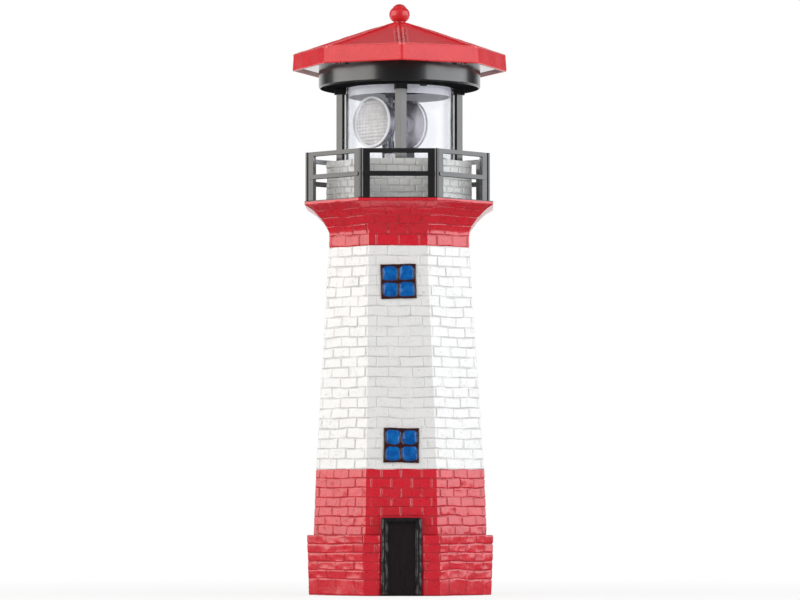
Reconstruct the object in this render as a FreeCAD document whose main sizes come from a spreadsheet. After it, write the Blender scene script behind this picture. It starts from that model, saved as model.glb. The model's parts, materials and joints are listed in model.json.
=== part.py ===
import FreeCAD, Part
import math
import os
import re

import Sketcher
from FreeCAD import Placement, Rotation, Vector

# Garden lighthouse ornament, in millimetres. The front looks along -Y, +Z is up,
# and the origin lies under the middle of the foot.
#
# The tower is an octagonal hollow casting with a flat on each axis. A lantern cage stands
# on its drum, and the head lifts off the cage: a round collar tray with the works, under
# an octagonal roof with a corner on each axis. The beacon hangs in the lantern from its
# spindle, which a gear motor in the tray turns.

# Driving dimensions. A reach is the distance from the middle of an octagon to its flat.
SIZES = {
    # tower casting, from the foot up
    "PlinthHeight": 36.0,
    "PlinthFootReach": 54.9,
    "PlinthTopReach": 56.2,
    "LowerBandHeight": 39.5,
    "LowerBandFootReach": 52.2,
    "ShaftFootReach": 50.7,
    "WhiteBandHeight": 134.0,
    "ShaftTopReach": 42.5,
    "UpperBandHeight": 9.5,
    "CoveHeight": 16.2,
    "CoveRadius": 32.0,
    "CorniceReach": 57.0,
    "CorniceHeight": 2.4,
    "DrumReach": 44.0,
    "DrumHeight": 24.4,
    "CastingWall": 4.5,
    "DrumRoof": 7.0,
    "BasePlateHeight": 3.0,
    "BasePlateLedge": 3.5,
    # brickwork on the casting
    "JointWidth": 0.8,
    "JointDepth": 0.45,
    "BrickedRun": 6.6,
    # door and windows, raised from the casting
    "DoorWidth": 24.6,
    "DoorHeight": 46.8,
    "DoorJamb": 3.8,
    "DoorRecess": 1.6,
    "WindowWidth": 21.8,
    "WindowHeight": 21.1,
    "WindowProud": 1.0,
    "WindowFrame": 1.5,
    "WindowPaneDepth": 0.7,
    "LowerWindowRise": 14.0,
    "UpperWindowRise": 112.2,
    # gallery railing
    "RailingReach": 55.0,
    "RailingHeight": 29.2,
    "RailingWall": 2.5,
    "RailingShift": 1.6,
    "StileWidth": 5.5,
    "TopRailHeight": 2.6,
    "MidRailRise": 14.1,
    "MidRailHeight": 2.7,
    "MidRailProud": 0.5,
    "MidRailLap": 3.6,
    "CornerRodRadius": 1.3,
    # lantern cage and window
    "LanternHeight": 45.9,
    "CageRadius": 39.0,
    "CageFloor": 3.0,
    "WindowRadius": 33.1,
    "WindowWall": 1.6,
    "PostWidth": 6.9,
    "PostDepth": 5.1,
    "PostShoulder": 1.65,
    "PillarWidth": 20.6,
    "PillarDepth": 4.1,
    "LugWidth": 7.3,
    "LugHeight": 3.4,
    "LugReach": 39.8,
    "LugInset": 29.3,
    "WindowRingHeight": 5.4,
    "WindowRingWall": 1.4,
    "CageScrewRing": 36.1,
    "CageScrewRadius": 1.1,
    "CageScrewHeadRadius": 1.9,
    "CageScrewHeadHeight": 1.3,
    "CageScrewLength": 6.5,
    # collar tray under the roof
    "CollarRadius": 49.3,
    "CollarHeight": 12.1,
    "CollarWall": 2.0,
    "CollarRound": 1.2,
    "TrayFloor": 2.0,
    "EaveHeight": 1.5,
    # roof
    "EaveRecess": 1.4,
    "FasciaFootReach": 60.7,
    "FasciaHeight": 9.9,
    "FasciaTopReach": 60.15,
    "RoofRise": 20.0,
    "NeckReach": 3.4,
    "RoofWall": 2.0,
    "FacetRecess": 0.6,
    "FacetBorder": 2.7,
    "LipBorder": 2.6,
    "HipRibRadius": 1.2,
    "RoofBossRing": 53.8,
    "RoofBossRadius": 2.6,
    "RoofScrewRadius": 1.1,
    "RoofScrewLength": 7.0,
    "RoofScrewHeadRadius": 2.0,
    "RoofScrewHeadHeight": 1.2,
    # finial
    "FinialPegRadius": 1.8,
    "FinialPegLength": 4.0,
    "FinialFootRadius": 3.6,
    "FinialFootHeight": 0.6,
    "FinialBallRadius": 6.3,
    "FinialBallHeight": 9.2,
    "FinialCapRadius": 3.9,
    "FinialCapRise": 1.9,
    "FinialHeight": 11.5,
    # solar cells behind the facets
    "CellHeight": 0.8,
    "CellFootReach": 48.0,
    "CellTopReach": 20.0,
    "CellMargin": 4.5,
    # beacon
    "SpindleOffset": 5.5,
    "SpindleRadius": 1.5,
    "HubRise": 24.5,
    "HubRadius": 4.9,
    "HubHalfLength": 9.4,
    "BowlReach": 17.0,
    "BowlRimRadius": 15.5,
    "BowlRimLip": 2.9,
    "BowlWall": 1.2,
    "BowlFoot": 3.2,
    "BowlFootRadius": 6.3,
    "LensRecess": 1.4,
    "LensHeight": 1.1,
    "LensCrown": 0.6,
    "LampRadius": 2.4,
    "LampLength": 2.5,
    "StemRadius": 3.0,
    "PivotRadius": 3.6,
    "PivotHeight": 6.0,
    "PivotFlangeRadius": 6.0,
    "PivotFlangeHeight": 1.2,
    "PivotFloor": 1.5,
    # bush in the tray floor
    "BushRadius": 3.2,
    "BushDrop": 5.1,
    "BushFlangeRadius": 4.6,
    "BushFlangeHeight": 0.8,
    # gear pair
    "GearModule": 0.8,
    "SpindleGearTeeth": 36,
    "PinionTeeth": 12,
    "GearWidth": 3.4,
    "GearRise": 1.2,
    "GearBacklash": 0.12,
    "SleeveRadius": 2.6,
    "SleeveLength": 7.6,
    # motor and its bracket
    "MotorShaftRadius": 1.5,
    "MotorLength": 12.0,
    "MotorDepth": 10.0,
    "MotorHeight": 20.0,
    "GearboxHeight": 9.0,
    "MotorBoreDepth": 5.0,
    "BracketRise": 6.2,
    "BracketHeight": 1.5,
    "BracketWidth": 9.0,
    "BracketPostSpread": 13.8,
    "BracketPostRadius": 2.6,
    "BracketScrewRadius": 0.9,
    "BracketScrewLength": 6.0,
    "BracketScrewHeadRadius": 1.7,
    "BracketScrewHeadHeight": 1.1,
    # slip rings and brushes
    "SlipRingWall": 0.8,
    "SlipRingWidth": 1.2,
    "SlipRingPitch": 2.4,
    "BrushReach": 22.0,
    "BrushBlockLength": 5.0,
    "BrushBlockDepth": 8.0,
    "BrushStripHeight": 0.4,
    # battery
    "BatteryRadius": 7.05,
    "BatteryLength": 49.0,
    "BatteryNubRadius": 2.75,
    "BatteryNubLength": 1.2,
    "BatteryPlace": 28.3,
    "HolderWall": 1.4,
    "HolderHeight": 9.0,
    "ContactWidth": 9.0,
    "ContactHeight": 0.5,
    # circuit board
    "BoardLength": 28.0,
    "BoardWidth": 15.0,
    "BoardHeight": 1.2,
    "BoardPlaceX": 13.0,
    "BoardPlaceY": 27.6,
    "StandoffRise": 2.5,
    "StandoffRadius": 1.5,
    "ChipWidth": 6.0,
    "ChipHeight": 1.6,
    "CoilPitch": 9.0,
    # slide switch
    "SwitchPlaceX": 15.0,
    "SwitchPlaceY": 37.2,
    "SwitchLength": 15.0,
    "SwitchWidth": 6.4,
    "SwitchHeight": 5.0,
    "SwitchTravel": 3.0,
    "KnobLength": 4.2,
    "KnobWidth": 2.4,
    "KnobDrop": 1.8,
    "SliderLength": 7.0,
    "SliderWidth": 4.2,
    "SliderHeight": 1.6,
    # clearances
    "SeatGap": 0.3,
    "RunningGap": 0.05,
}

# Heights of the main shoulders above the ground.
WHITE_LEVEL = "(PlinthHeight + LowerBandHeight)"
UPPER_LEVEL = f"({WHITE_LEVEL} + WhiteBandHeight)"
COVE_LEVEL = f"({UPPER_LEVEL} + UpperBandHeight)"
CORNICE_LEVEL = f"({COVE_LEVEL} + CoveHeight)"
DECK_LEVEL = f"({CORNICE_LEVEL} + CorniceHeight)"
FLOOR_LEVEL = f"({DECK_LEVEL} + DrumHeight)"
COLLAR_LEVEL = f"({FLOOR_LEVEL} + LanternHeight)"
TRAY_LEVEL = f"({COLLAR_LEVEL} + TrayFloor)"
EAVE_LEVEL = f"({COLLAR_LEVEL} + CollarHeight)"
FLANGE_LEVEL = f"({EAVE_LEVEL} + EaveHeight)"
FASCIA_FOOT = f"({EAVE_LEVEL} - EaveRecess)"
FASCIA_TOP = f"({FASCIA_FOOT} + FasciaHeight)"
NECK_LEVEL = f"({FASCIA_TOP} + RoofRise)"
HUB_LEVEL = f"({FLOOR_LEVEL} + HubRise)"
GEAR_LEVEL = f"({TRAY_LEVEL} + GearRise)"

TOWER_SPAN = "(2 * (PlinthTopReach + CorniceReach))"

# Slopes, as rise or run over the length of a face.
SHAFT_LEAN = "((ShaftFootReach - ShaftTopReach) / WhiteBandHeight)"
ROOF_RUN = "(FasciaTopReach - NeckReach)"
ROOF_SLOPE = f"(RoofRise / {ROOF_RUN})"
ROOF_LENGTH = f"sqrt({ROOF_RUN} * {ROOF_RUN} + RoofRise * RoofRise)"
ROOF_COSINE = f"({ROOF_RUN} / {ROOF_LENGTH})"

# Places in plan.
GEAR_CENTRES = "(GearModule * (SpindleGearTeeth + PinionTeeth) / 2)"
MOTOR_X = f"({GEAR_CENTRES} - SpindleOffset)"
SPINDLE_X = "(-SpindleOffset)"

PLINTH_COURSES = 6
BAND_COURSES = 7
SHAFT_COURSES = 22
CROWN_COURSES = 3
COVE_COURSES = 3

HALF_SECTOR = 22.5
SECTOR = 45
PRESSURE_ANGLE = 20
TOOTH_TIP = 0.8
TOOTH_ROOT = 1.05
FACET_APEX = 1.15
BEACON_HEADING = -45
UPRIGHT = Rotation(Vector(1, 0, 0), 90)
ALONG_X = Rotation(Vector(0, 1, 0), 90)
LEVEL = Rotation()

doc = FreeCAD.newDocument("garden_lighthouse")
sheet = doc.addObject("Spreadsheet::Sheet", "Sizes")
for row, (name, number) in enumerate(SIZES.items(), 1):
    sheet.set(f"A{row}", name)
    sheet.set(f"B{row}", str(number))
    sheet.setAlias(f"B{row}", name)
doc.recompute()


# Reading and binding the sizes.
def expand(text):
    """Write each size's name in a formula as a cell of the sheet."""
    return re.sub(r"\b[A-Z][A-Za-z]+\b", lambda word: f"Sizes.{word.group()}", str(text))


def value(text):
    """The number that a formula of sizes has now."""
    result = sheet.evalExpression(expand(text))
    return float(getattr(result, "Value", result))


def bind(made, **formulas):
    """Tie properties of an object to formulas of sizes."""
    for name, text in formulas.items():
        made.setExpression(name, expand(text))
    return made


def move(made, x=0, y=0, z=0):
    """Tie the place of an object to formulas of sizes."""
    for axis, text in zip("xyz", (x, y, z)):
        if text != 0:
            made.setExpression(f"Placement.Base.{axis}", expand(text))
    return made


def turn(angle):
    """A rotation about the vertical."""
    return Rotation(Vector(0, 0, 1), angle)


# Primitives and booleans.
def add(kind, name, rotation=LEVEL):
    """A new object, turned as given."""
    made = doc.addObject(kind, name)
    made.Placement = Placement(Vector(), rotation)
    return made


def cylinder(name, radius, height, x=0, y=0, z=0, rotation=LEVEL):
    """A cylinder that stands on its place."""
    made = bind(add("Part::Cylinder", name, rotation), Radius=radius, Height=height)
    return move(made, x, y, z)


def box(name, length, width, height, x=0, y=0, z=0):
    """A block that stands on its place, centred on it in plan."""
    made = bind(add("Part::Box", name), Length=length, Width=width, Height=height)
    return move(made, f"{x} - ({length}) / 2", f"{y} - ({width}) / 2", z)


def group(name, members, rotation=LEVEL, x=0, y=0, z=0):
    """Several solids kept apart under one name."""
    made = add("Part::Compound", name, rotation)
    made.Links = members
    return move(made, x, y, z)


def fuse(name, members):
    """One solid from several."""
    made = add("Part::MultiFuse", name)
    made.Shapes = members
    return made


def common(name, members):
    """What several solids share."""
    made = add("Part::MultiCommon", name)
    made.Shapes = members
    return made


def cut(name, base, tools):
    """A solid without its tools."""
    made = add("Part::Cut", name)
    made.Base = base
    made.Tool = tools[0] if len(tools) == 1 else fuse(f"{name}_tools", tools)
    return made


def ring_of(name, count, member, start=0):
    """Copies of what member(number) makes, evenly turned about the vertical."""
    step = 360 / count
    return [group(f"{name}_{n}", [member(n)], turn(start + n * step)) for n in range(count)]


def tube(name, radius, bore, height, x=0, y=0, z=0):
    """A round tube that stands on its place."""
    outside = cylinder(f"{name}_outside", radius, height, x, y, z)
    return cut(name, outside, [cylinder(f"{name}_bore", bore, height, x, y, z)])


# Sketches.
def arc_side(first, last, radius):
    """The arc from first to last, with its ends' numbers. A positive radius turns left."""
    along = last - first
    left = Vector(-along.y, along.x, 0).normalize()
    height = math.sqrt(max(radius * radius - along.Length ** 2 / 4, 0))
    centre = (first + last) / 2 + left * math.copysign(height, radius)
    start, end = (first, last) if radius > 0 else (last, first)
    angles = [math.atan2(p.y - centre.y, p.x - centre.x) for p in (start, end)]
    circle = Part.Circle(centre, Vector(0, 0, 1), abs(radius))
    arc = Part.ArcOfCircle(circle, angles[0], angles[1])
    return arc, (1, 2) if radius > 0 else (2, 1)


def draw(sketch, points):
    """Draw a closed outline. A point's third entry is the radius of the arc that follows it."""
    places = [Vector(value(point[0]), value(point[1]), 0) for point in points]
    sides = []
    for n, point in enumerate(points):
        first, last = places[n], places[(n + 1) % len(points)]
        if len(point) == 3:
            arc, ends = arc_side(first, last, value(point[2]))
            side = sketch.addGeometry(arc)
            number = sketch.addConstraint(Sketcher.Constraint("Radius", side, arc.Radius))
            sketch.setExpression(f"Constraints[{number}]", expand(f"abs({point[2]})"))
        else:
            side = sketch.addGeometry(Part.LineSegment(first, last))
            ends = (1, 2)
        sides.append((side, ends))
    for n, point in enumerate(points):
        (before, before_ends), (side, ends) = sides[n - 1], sides[n]
        joint = Sketcher.Constraint("Coincident", before, before_ends[1], side, ends[0])
        sketch.addConstraint(joint)
        for kind, text, place in zip(("DistanceX", "DistanceY"), point, places[n]):
            held = Sketcher.Constraint(kind, -1, 1, side, ends[0], place)
            number = sketch.addConstraint(held)
            sketch.setExpression(f"Constraints[{number}]", expand(text))


def circle(sketch, radius, x, y):
    """Draw a circle."""
    centre = Vector(value(x), value(y), 0)
    side = sketch.addGeometry(Part.Circle(centre, Vector(0, 0, 1), value(radius)))
    held = [
        (Sketcher.Constraint("Radius", side, value(radius)), radius),
        (Sketcher.Constraint("DistanceX", -1, 1, side, 3, centre.x), x),
        (Sketcher.Constraint("DistanceY", -1, 1, side, 3, centre.y), y),
    ]
    for constraint, text in held:
        number = sketch.addConstraint(constraint)
        sketch.setExpression(f"Constraints[{number}]", expand(text))


def mirrored(points):
    """An outline of the right-hand points and their mirror images, from foot to top and back."""
    left = []
    for n in range(len(points) - 1, -1, -1):
        x, y = points[n][:2]
        bend = points[n - 1][2:] if n > 0 else ()
        left.append((f"-({x})", y) + bend)
    return list(points) + left


def extruded(name, points, length, rotation, symmetric=False, x=0, y=0, z=0):
    """An outline drawn by itself and extruded along its normal."""
    outline = add("Sketcher::SketchObject", f"{name}_outline", rotation)
    draw(outline, points)
    move(outline, x, y, z)
    made = add("Part::Extrusion", name)
    made.Base = outline
    made.DirMode = "Normal"
    made.Solid = True
    made.Symmetric = symmetric
    return bind(made, LengthFwd=length)


def octagonal(name, points, span, start=0):
    """An octagonal solid whose reach follows a profile, from four crossed slabs."""
    slabs = []
    for n in range(4):
        rotation = turn(start + n * SECTOR).multiply(UPRIGHT)
        slabs.append(extruded(f"{name}_slab_{n}", mirrored(points), span, rotation, True))
    return common(name, slabs)


def octagon(name, reach, height, z, start=0):
    """A straight octagonal prism."""
    made = bind(add("Part::Prism", name, turn(start + HALF_SECTOR)), Height=height)
    made.Polygon = 8
    bind(made, Circumradius=f"({reach}) / cos({HALF_SECTOR})")
    return move(made, 0, 0, z)


def new_body(name):
    """An empty body."""
    return doc.addObject("PartDesign::Body", name)


def plane_of(body, role):
    """One of a body's own planes or axes."""
    return next(item for item in body.Origin.OriginFeatures if item.Role == role)


def body_sketch(body, name, role, offset=None):
    """A sketch on a body's own plane, set off from it by a formula."""
    sketch = body.newObject("Sketcher::SketchObject", name)
    sketch.AttachmentSupport = [(plane_of(body, role), "")]
    sketch.MapMode = "FlatFace"
    if offset is not None:
        sketch.setExpression("AttachmentOffset.Base.z", expand(offset))
    return sketch


def revolved(name, points, x=0, y=0, z=0, rotation=LEVEL):
    """A body turned from a profile of radius against height."""
    body = new_body(name)
    sketch = body_sketch(body, f"{name}_profile", "XZ_Plane")
    draw(sketch, points)
    feature = body.newObject("PartDesign::Revolution", f"{name}_turned")
    feature.Profile = sketch
    feature.ReferenceAxis = (sketch, ["V_Axis"])
    feature.Angle = 360
    body.Placement = Placement(Vector(), rotation)
    return move(body, x, y, z)


def patterned(body, feature, count):
    """Repeat a body's feature about its vertical axis."""
    pattern = body.newObject("PartDesign::PolarPattern", f"{feature.Name}_pattern")
    pattern.Originals = [feature]
    pattern.Axis = (plane_of(body, "Z_Axis"), [""])
    pattern.Angle = 360
    pattern.Occurrences = count
    body.Tip = pattern
    return pattern


def screws(name, count, ring, start, radius, length, head_radius, head_height, z, up):
    """A ring of identical screws whose heads seat at height z."""
    foot = z if up else f"{z} - {length}"
    head = f"{z} - {head_height}" if up else z

    def one(number):
        shank = cylinder(f"{name}_shank_{number}", radius, length, ring, 0, foot)
        top = cylinder(f"{name}_head_{number}", head_radius, head_height, ring, 0, head)
        return fuse(f"{name}_screw_{number}", [shank, top])

    return group(name, ring_of(name, count, one, start))


# The tower.
def raised_window(name, rise):
    """A window frame with four panes, standing out of the leaning front wall."""
    depth = "(WindowProud + CastingWall / 2)"
    frame = box(f"{name}_frame", "WindowWidth", depth, "WindowHeight", 0, f"({depth} / 2 - WindowProud)")
    pane_width = "((WindowWidth - 3 * WindowFrame) / 2)"
    pane_height = "((WindowHeight - 3 * WindowFrame) / 2)"
    panes = []
    for column in (-1, 1):
        for level in (0, 1):
            pane = box(
                f"{name}_pane_{column + 1}{level}",
                pane_width,
                "WindowPaneDepth",
                pane_height,
                f"{column} * (WindowFrame + {pane_width}) / 2",
                "(WindowPaneDepth / 2 - WindowProud)",
                f"WindowFrame + {level} * (WindowFrame + {pane_height})",
            )
            panes.append(pane)
    lean = math.degrees(math.atan(value(SHAFT_LEAN)))
    window = cut(f"{name}_glazed", frame, panes)
    reach = f"(ShaftFootReach - {rise} * {SHAFT_LEAN})"
    foot = f"{WHITE_LEVEL} + {rise} - WindowHeight / 2"
    return group(name, [window], Rotation(Vector(1, 0, 0), -lean), 0, f"-{reach}", foot)


def tower_profile(depth):
    """The outside of the casting, or a face that lies at a depth below it."""
    return [
        (f"PlinthFootReach - {depth}", "0"),
        (f"PlinthTopReach - {depth}", "PlinthHeight"),
        (f"LowerBandFootReach - {depth}", "PlinthHeight"),
        (f"ShaftFootReach - {depth}", WHITE_LEVEL),
        (f"ShaftTopReach - {depth}", UPPER_LEVEL),
        (f"ShaftTopReach - {depth}", COVE_LEVEL, "-CoveRadius"),
        (f"CorniceReach - {depth}", CORNICE_LEVEL),
        (f"CorniceReach - {depth}", DECK_LEVEL),
        ("DrumReach", DECK_LEVEL),
        ("DrumReach", FLOOR_LEVEL),
    ]


def level_joints(name, foot, rise, count):
    """Thin slabs at the joints above each course but the last."""
    return [
        box(
            f"{name}_line_{n}",
            TOWER_SPAN,
            TOWER_SPAN,
            "JointWidth",
            0,
            0,
            f"{foot} + {n} * {rise} - JointWidth / 2",
        )
        for n in range(1, count)
    ]


def brickwork(raised):
    """The level joints of the brick courses on the plinth, the red band, the shaft and the cove."""
    core = octagonal("joint_floor", tower_profile("JointDepth"), TOWER_SPAN)
    cove_foot = f"({UPPER_LEVEL} + 2 * BrickedRun)"
    areas = (
        ("plinth", "0", "PlinthHeight", PLINTH_COURSES),
        ("band", "PlinthHeight", "LowerBandHeight", BAND_COURSES),
        ("shaft", WHITE_LEVEL, "WhiteBandHeight", SHAFT_COURSES),
        ("crown", UPPER_LEVEL, f"({CROWN_COURSES} * BrickedRun)", CROWN_COURSES),
        ("cove", cove_foot, f"({CORNICE_LEVEL} - {cove_foot})", COVE_COURSES),
    )
    lines = []
    for name, foot, height, count in areas:
        lines += level_joints(name, foot, f"({height} / {count})", count)
    return cut("level_joints", group("joint_slabs", lines), [core] + raised)


def make_tower():
    """The hollow casting: plinth, shaft, cornice and drum, with the door and windows."""
    outside = octagonal("tower_outside", tower_profile("0"), TOWER_SPAN)
    inside = octagonal(
        "tower_inside",
        [
            ("PlinthFootReach - CastingWall", "0"),
            ("PlinthFootReach - CastingWall", "BasePlateHeight"),
            ("PlinthFootReach - CastingWall - BasePlateLedge", "BasePlateHeight"),
            ("ShaftFootReach - CastingWall", WHITE_LEVEL),
            ("ShaftTopReach - CastingWall", UPPER_LEVEL),
            ("ShaftTopReach - CastingWall", COVE_LEVEL),
            ("DrumReach - CastingWall", DECK_LEVEL),
            ("DrumReach - CastingWall", f"{FLOOR_LEVEL} - DrumRoof"),
        ],
        TOWER_SPAN,
    )
    door_depth = "(PlinthTopReach - LowerBandFootReach + CastingWall / 2)"
    door_place = f"(-PlinthTopReach + {door_depth} / 2)"
    door = box("door_block", "DoorWidth", door_depth, "DoorHeight", 0, door_place)
    panel = box(
        "door_panel",
        "DoorWidth - 2 * DoorJamb",
        "DoorRecess",
        "DoorHeight - 2 * DoorJamb",
        0,
        "(-PlinthTopReach + DoorRecess / 2)",
        "DoorJamb",
    )
    raised = [
        door,
        raised_window("lower_window", "LowerWindowRise"),
        raised_window("upper_window", "UpperWindowRise"),
    ]
    walls = fuse("tower_walls", [outside] + raised)
    seat = cylinder("cage_seat", "CageRadius + SeatGap", "CageFloor", z=f"{FLOOR_LEVEL} - CageFloor")
    holes = ring_of(
        "cage_hole",
        4,
        lambda n: cylinder(
            f"cage_hole_bore_{n}",
            "CageScrewRadius",
            "DrumRoof",
            "CageScrewRing",
            0,
            f"{FLOOR_LEVEL} - DrumRoof",
        ),
        SECTOR,
    )
    plain = cut("plain_casting", walls, [inside, panel, seat] + holes)
    return cut("tower_casting", plain, [brickwork(raised)])


def make_base_plate():
    """The plate that closes the foot of the casting."""
    reach = "PlinthFootReach - CastingWall - SeatGap"
    return octagon("base_plate", reach, "BasePlateHeight", "0")


# The gallery railing.
def corner_points(reach, count=8):
    """The corners of an octagon with flats on the axes."""
    angles = [HALF_SECTOR + n * SECTOR for n in range(count)]
    spread = f"({reach}) / cos({HALF_SECTOR})"
    return [(f"{spread} * cos({angle})", f"{spread} * sin({angle})") for angle in angles]


def make_railing():
    """The moulded railing: an octagonal wall opened between its stiles, with a bar on each side."""
    body = new_body("gallery_railing")
    wall = body_sketch(body, "railing_wall", "XY_Plane")
    draw(wall, corner_points("RailingReach"))
    draw(wall, corner_points("RailingReach - RailingWall"))
    raised = body.newObject("PartDesign::Pad", "railing_wall_pad")
    raised.Profile = wall
    bind(raised, Length="RailingHeight")
    doc.recompute()

    half = f"(RailingReach * tan({HALF_SECTOR}) - StileWidth)"
    opening = body_sketch(body, "railing_opening", "XZ_Plane", "RailingReach + RailingWall")
    top = "RailingHeight - TopRailHeight"
    draw(opening, [(f"-{half}", "0"), (half, "0"), (half, top), (f"-{half}", top)])
    open_side = body.newObject("PartDesign::Pocket", "railing_opening_cut")
    open_side.Profile = opening
    bind(open_side, Length="3 * RailingWall")
    doc.recompute()
    patterned(body, open_side, 8)
    doc.recompute()

    lap = f"({half} + MidRailLap - MidRailHeight / 2)"
    low = "MidRailRise - MidRailHeight / 2"
    high = "MidRailRise + MidRailHeight / 2"
    bar = body_sketch(body, "railing_bar", "XZ_Plane", "RailingReach - RailingWall")
    draw(
        bar,
        [
            (f"-{lap}", low),
            (lap, low, "MidRailHeight / 2 + 0.001"),
            (lap, high),
            (f"-{lap}", high, "MidRailHeight / 2 + 0.001"),
        ],
    )
    barred = body.newObject("PartDesign::Pad", "railing_bar_pad")
    barred.Profile = bar
    bind(barred, Length="RailingWall + MidRailProud")
    doc.recompute()
    patterned(body, barred, 8)
    doc.recompute()

    rod = body_sketch(body, "railing_rod", "XY_Plane")
    spread = f"(RailingReach / cos({HALF_SECTOR}) - CornerRodRadius / 2)"
    circle(rod, "CornerRodRadius", f"{spread} * cos({HALF_SECTOR})", f"{spread} * sin({HALF_SECTOR})")
    stood = body.newObject("PartDesign::Pad", "railing_rod_pad")
    stood.Profile = rod
    bind(stood, Length="RailingHeight")
    doc.recompute()
    patterned(body, stood, 8)
    return move(body, "-RailingShift", 0, DECK_LEVEL)


# The lantern.
def make_cage():
    """The floor disc with three ridged posts, a wide rear pillar and the lugs at their heads."""
    inner = "(WindowRadius + SeatGap)"
    post = [
        ("-PostWidth / 2", f"-{inner}"),
        ("-PostWidth / 2", f"-({inner} + PostShoulder)"),
        ("0", f"-({inner} + PostDepth)"),
        ("PostWidth / 2", f"-({inner} + PostShoulder)"),
        ("PostWidth / 2", f"-{inner}"),
    ]
    posts = [
        extruded(f"cage_post_{n}", post, "LanternHeight", turn(n * 90), z=FLOOR_LEVEL)
        for n in (-1, 0, 1)
    ]
    middle = f"({inner} + PillarDepth / 2)"
    pillar = box("cage_pillar", "PillarWidth", "PillarDepth", "LanternHeight", 0, middle, FLOOR_LEVEL)
    lug_y = "((LugReach + LugInset) / 2)"
    lug_z = f"{COLLAR_LEVEL} - LugHeight"
    lugs = ring_of(
        "cage_lug",
        4,
        lambda n: box(
            f"cage_lug_block_{n}",
            "LugWidth",
            "LugReach - LugInset",
            "LugHeight",
            0,
            lug_y,
            lug_z,
        ),
    )
    disc = cylinder("cage_disc", "CageRadius", "CageFloor", z=f"{FLOOR_LEVEL} - CageFloor")
    holes = ring_of(
        "disc_hole",
        4,
        lambda n: cylinder(
            f"disc_hole_bore_{n}",
            "CageScrewRadius + RunningGap",
            "CageFloor",
            "CageScrewRing",
            0,
            f"{FLOOR_LEVEL} - CageFloor",
        ),
        SECTOR,
    )
    return cut("lantern_cage", fuse("cage_solid", [disc, pillar] + posts + lugs), holes)


def lug_notches(name):
    """Room for the cage's lugs in the top of the window and its ring."""
    height = "(LugHeight + SeatGap)"
    width = "LugWidth + 2 * SeatGap"
    return ring_of(
        name,
        4,
        lambda n: box(
            f"{name}_block_{n}",
            width,
            "WindowRadius",
            height,
            0,
            "WindowRadius",
            f"{COLLAR_LEVEL} - {height}",
        ),
    )


def make_window():
    """The clear tube round the beacon."""
    bore = "WindowRadius - WindowWall"
    blank = tube("window_blank", "WindowRadius", bore, "LanternHeight - SeatGap", z=FLOOR_LEVEL)
    return cut("lantern_window", blank, lug_notches("window_notch"))


def make_window_ring():
    """The frosted ring inside the head of the window."""
    radius = "WindowRadius - WindowWall - SeatGap / 3"
    foot = f"{COLLAR_LEVEL} - WindowRingHeight"
    blank = tube("ring_blank", radius, f"{radius} - WindowRingWall", "WindowRingHeight - SeatGap", z=foot)
    return cut("window_ring", blank, lug_notches("ring_notch"))


def make_cage_screws():
    """The screws that hold the cage down on the drum."""
    return screws(
        "cage_screws",
        4,
        "CageScrewRing",
        SECTOR,
        "CageScrewRadius - RunningGap",
        "CageScrewLength",
        "CageScrewHeadRadius",
        "CageScrewHeadHeight",
        FLOOR_LEVEL,
        False,
    )


def make_pivot_cup():
    """The cup on the lantern floor in which the foot of the spindle turns."""
    bore = "(SpindleRadius + RunningGap)"
    return revolved(
        "pivot_cup",
        [
            ("0", "0"),
            ("PivotFlangeRadius", "0"),
            ("PivotFlangeRadius", "PivotFlangeHeight"),
            ("PivotRadius", "PivotFlangeHeight"),
            ("PivotRadius", "PivotHeight"),
            (bore, "PivotHeight"),
            (bore, "PivotFloor"),
            ("0", "PivotFloor"),
        ],
        x=SPINDLE_X,
        z=FLOOR_LEVEL,
    )


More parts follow.
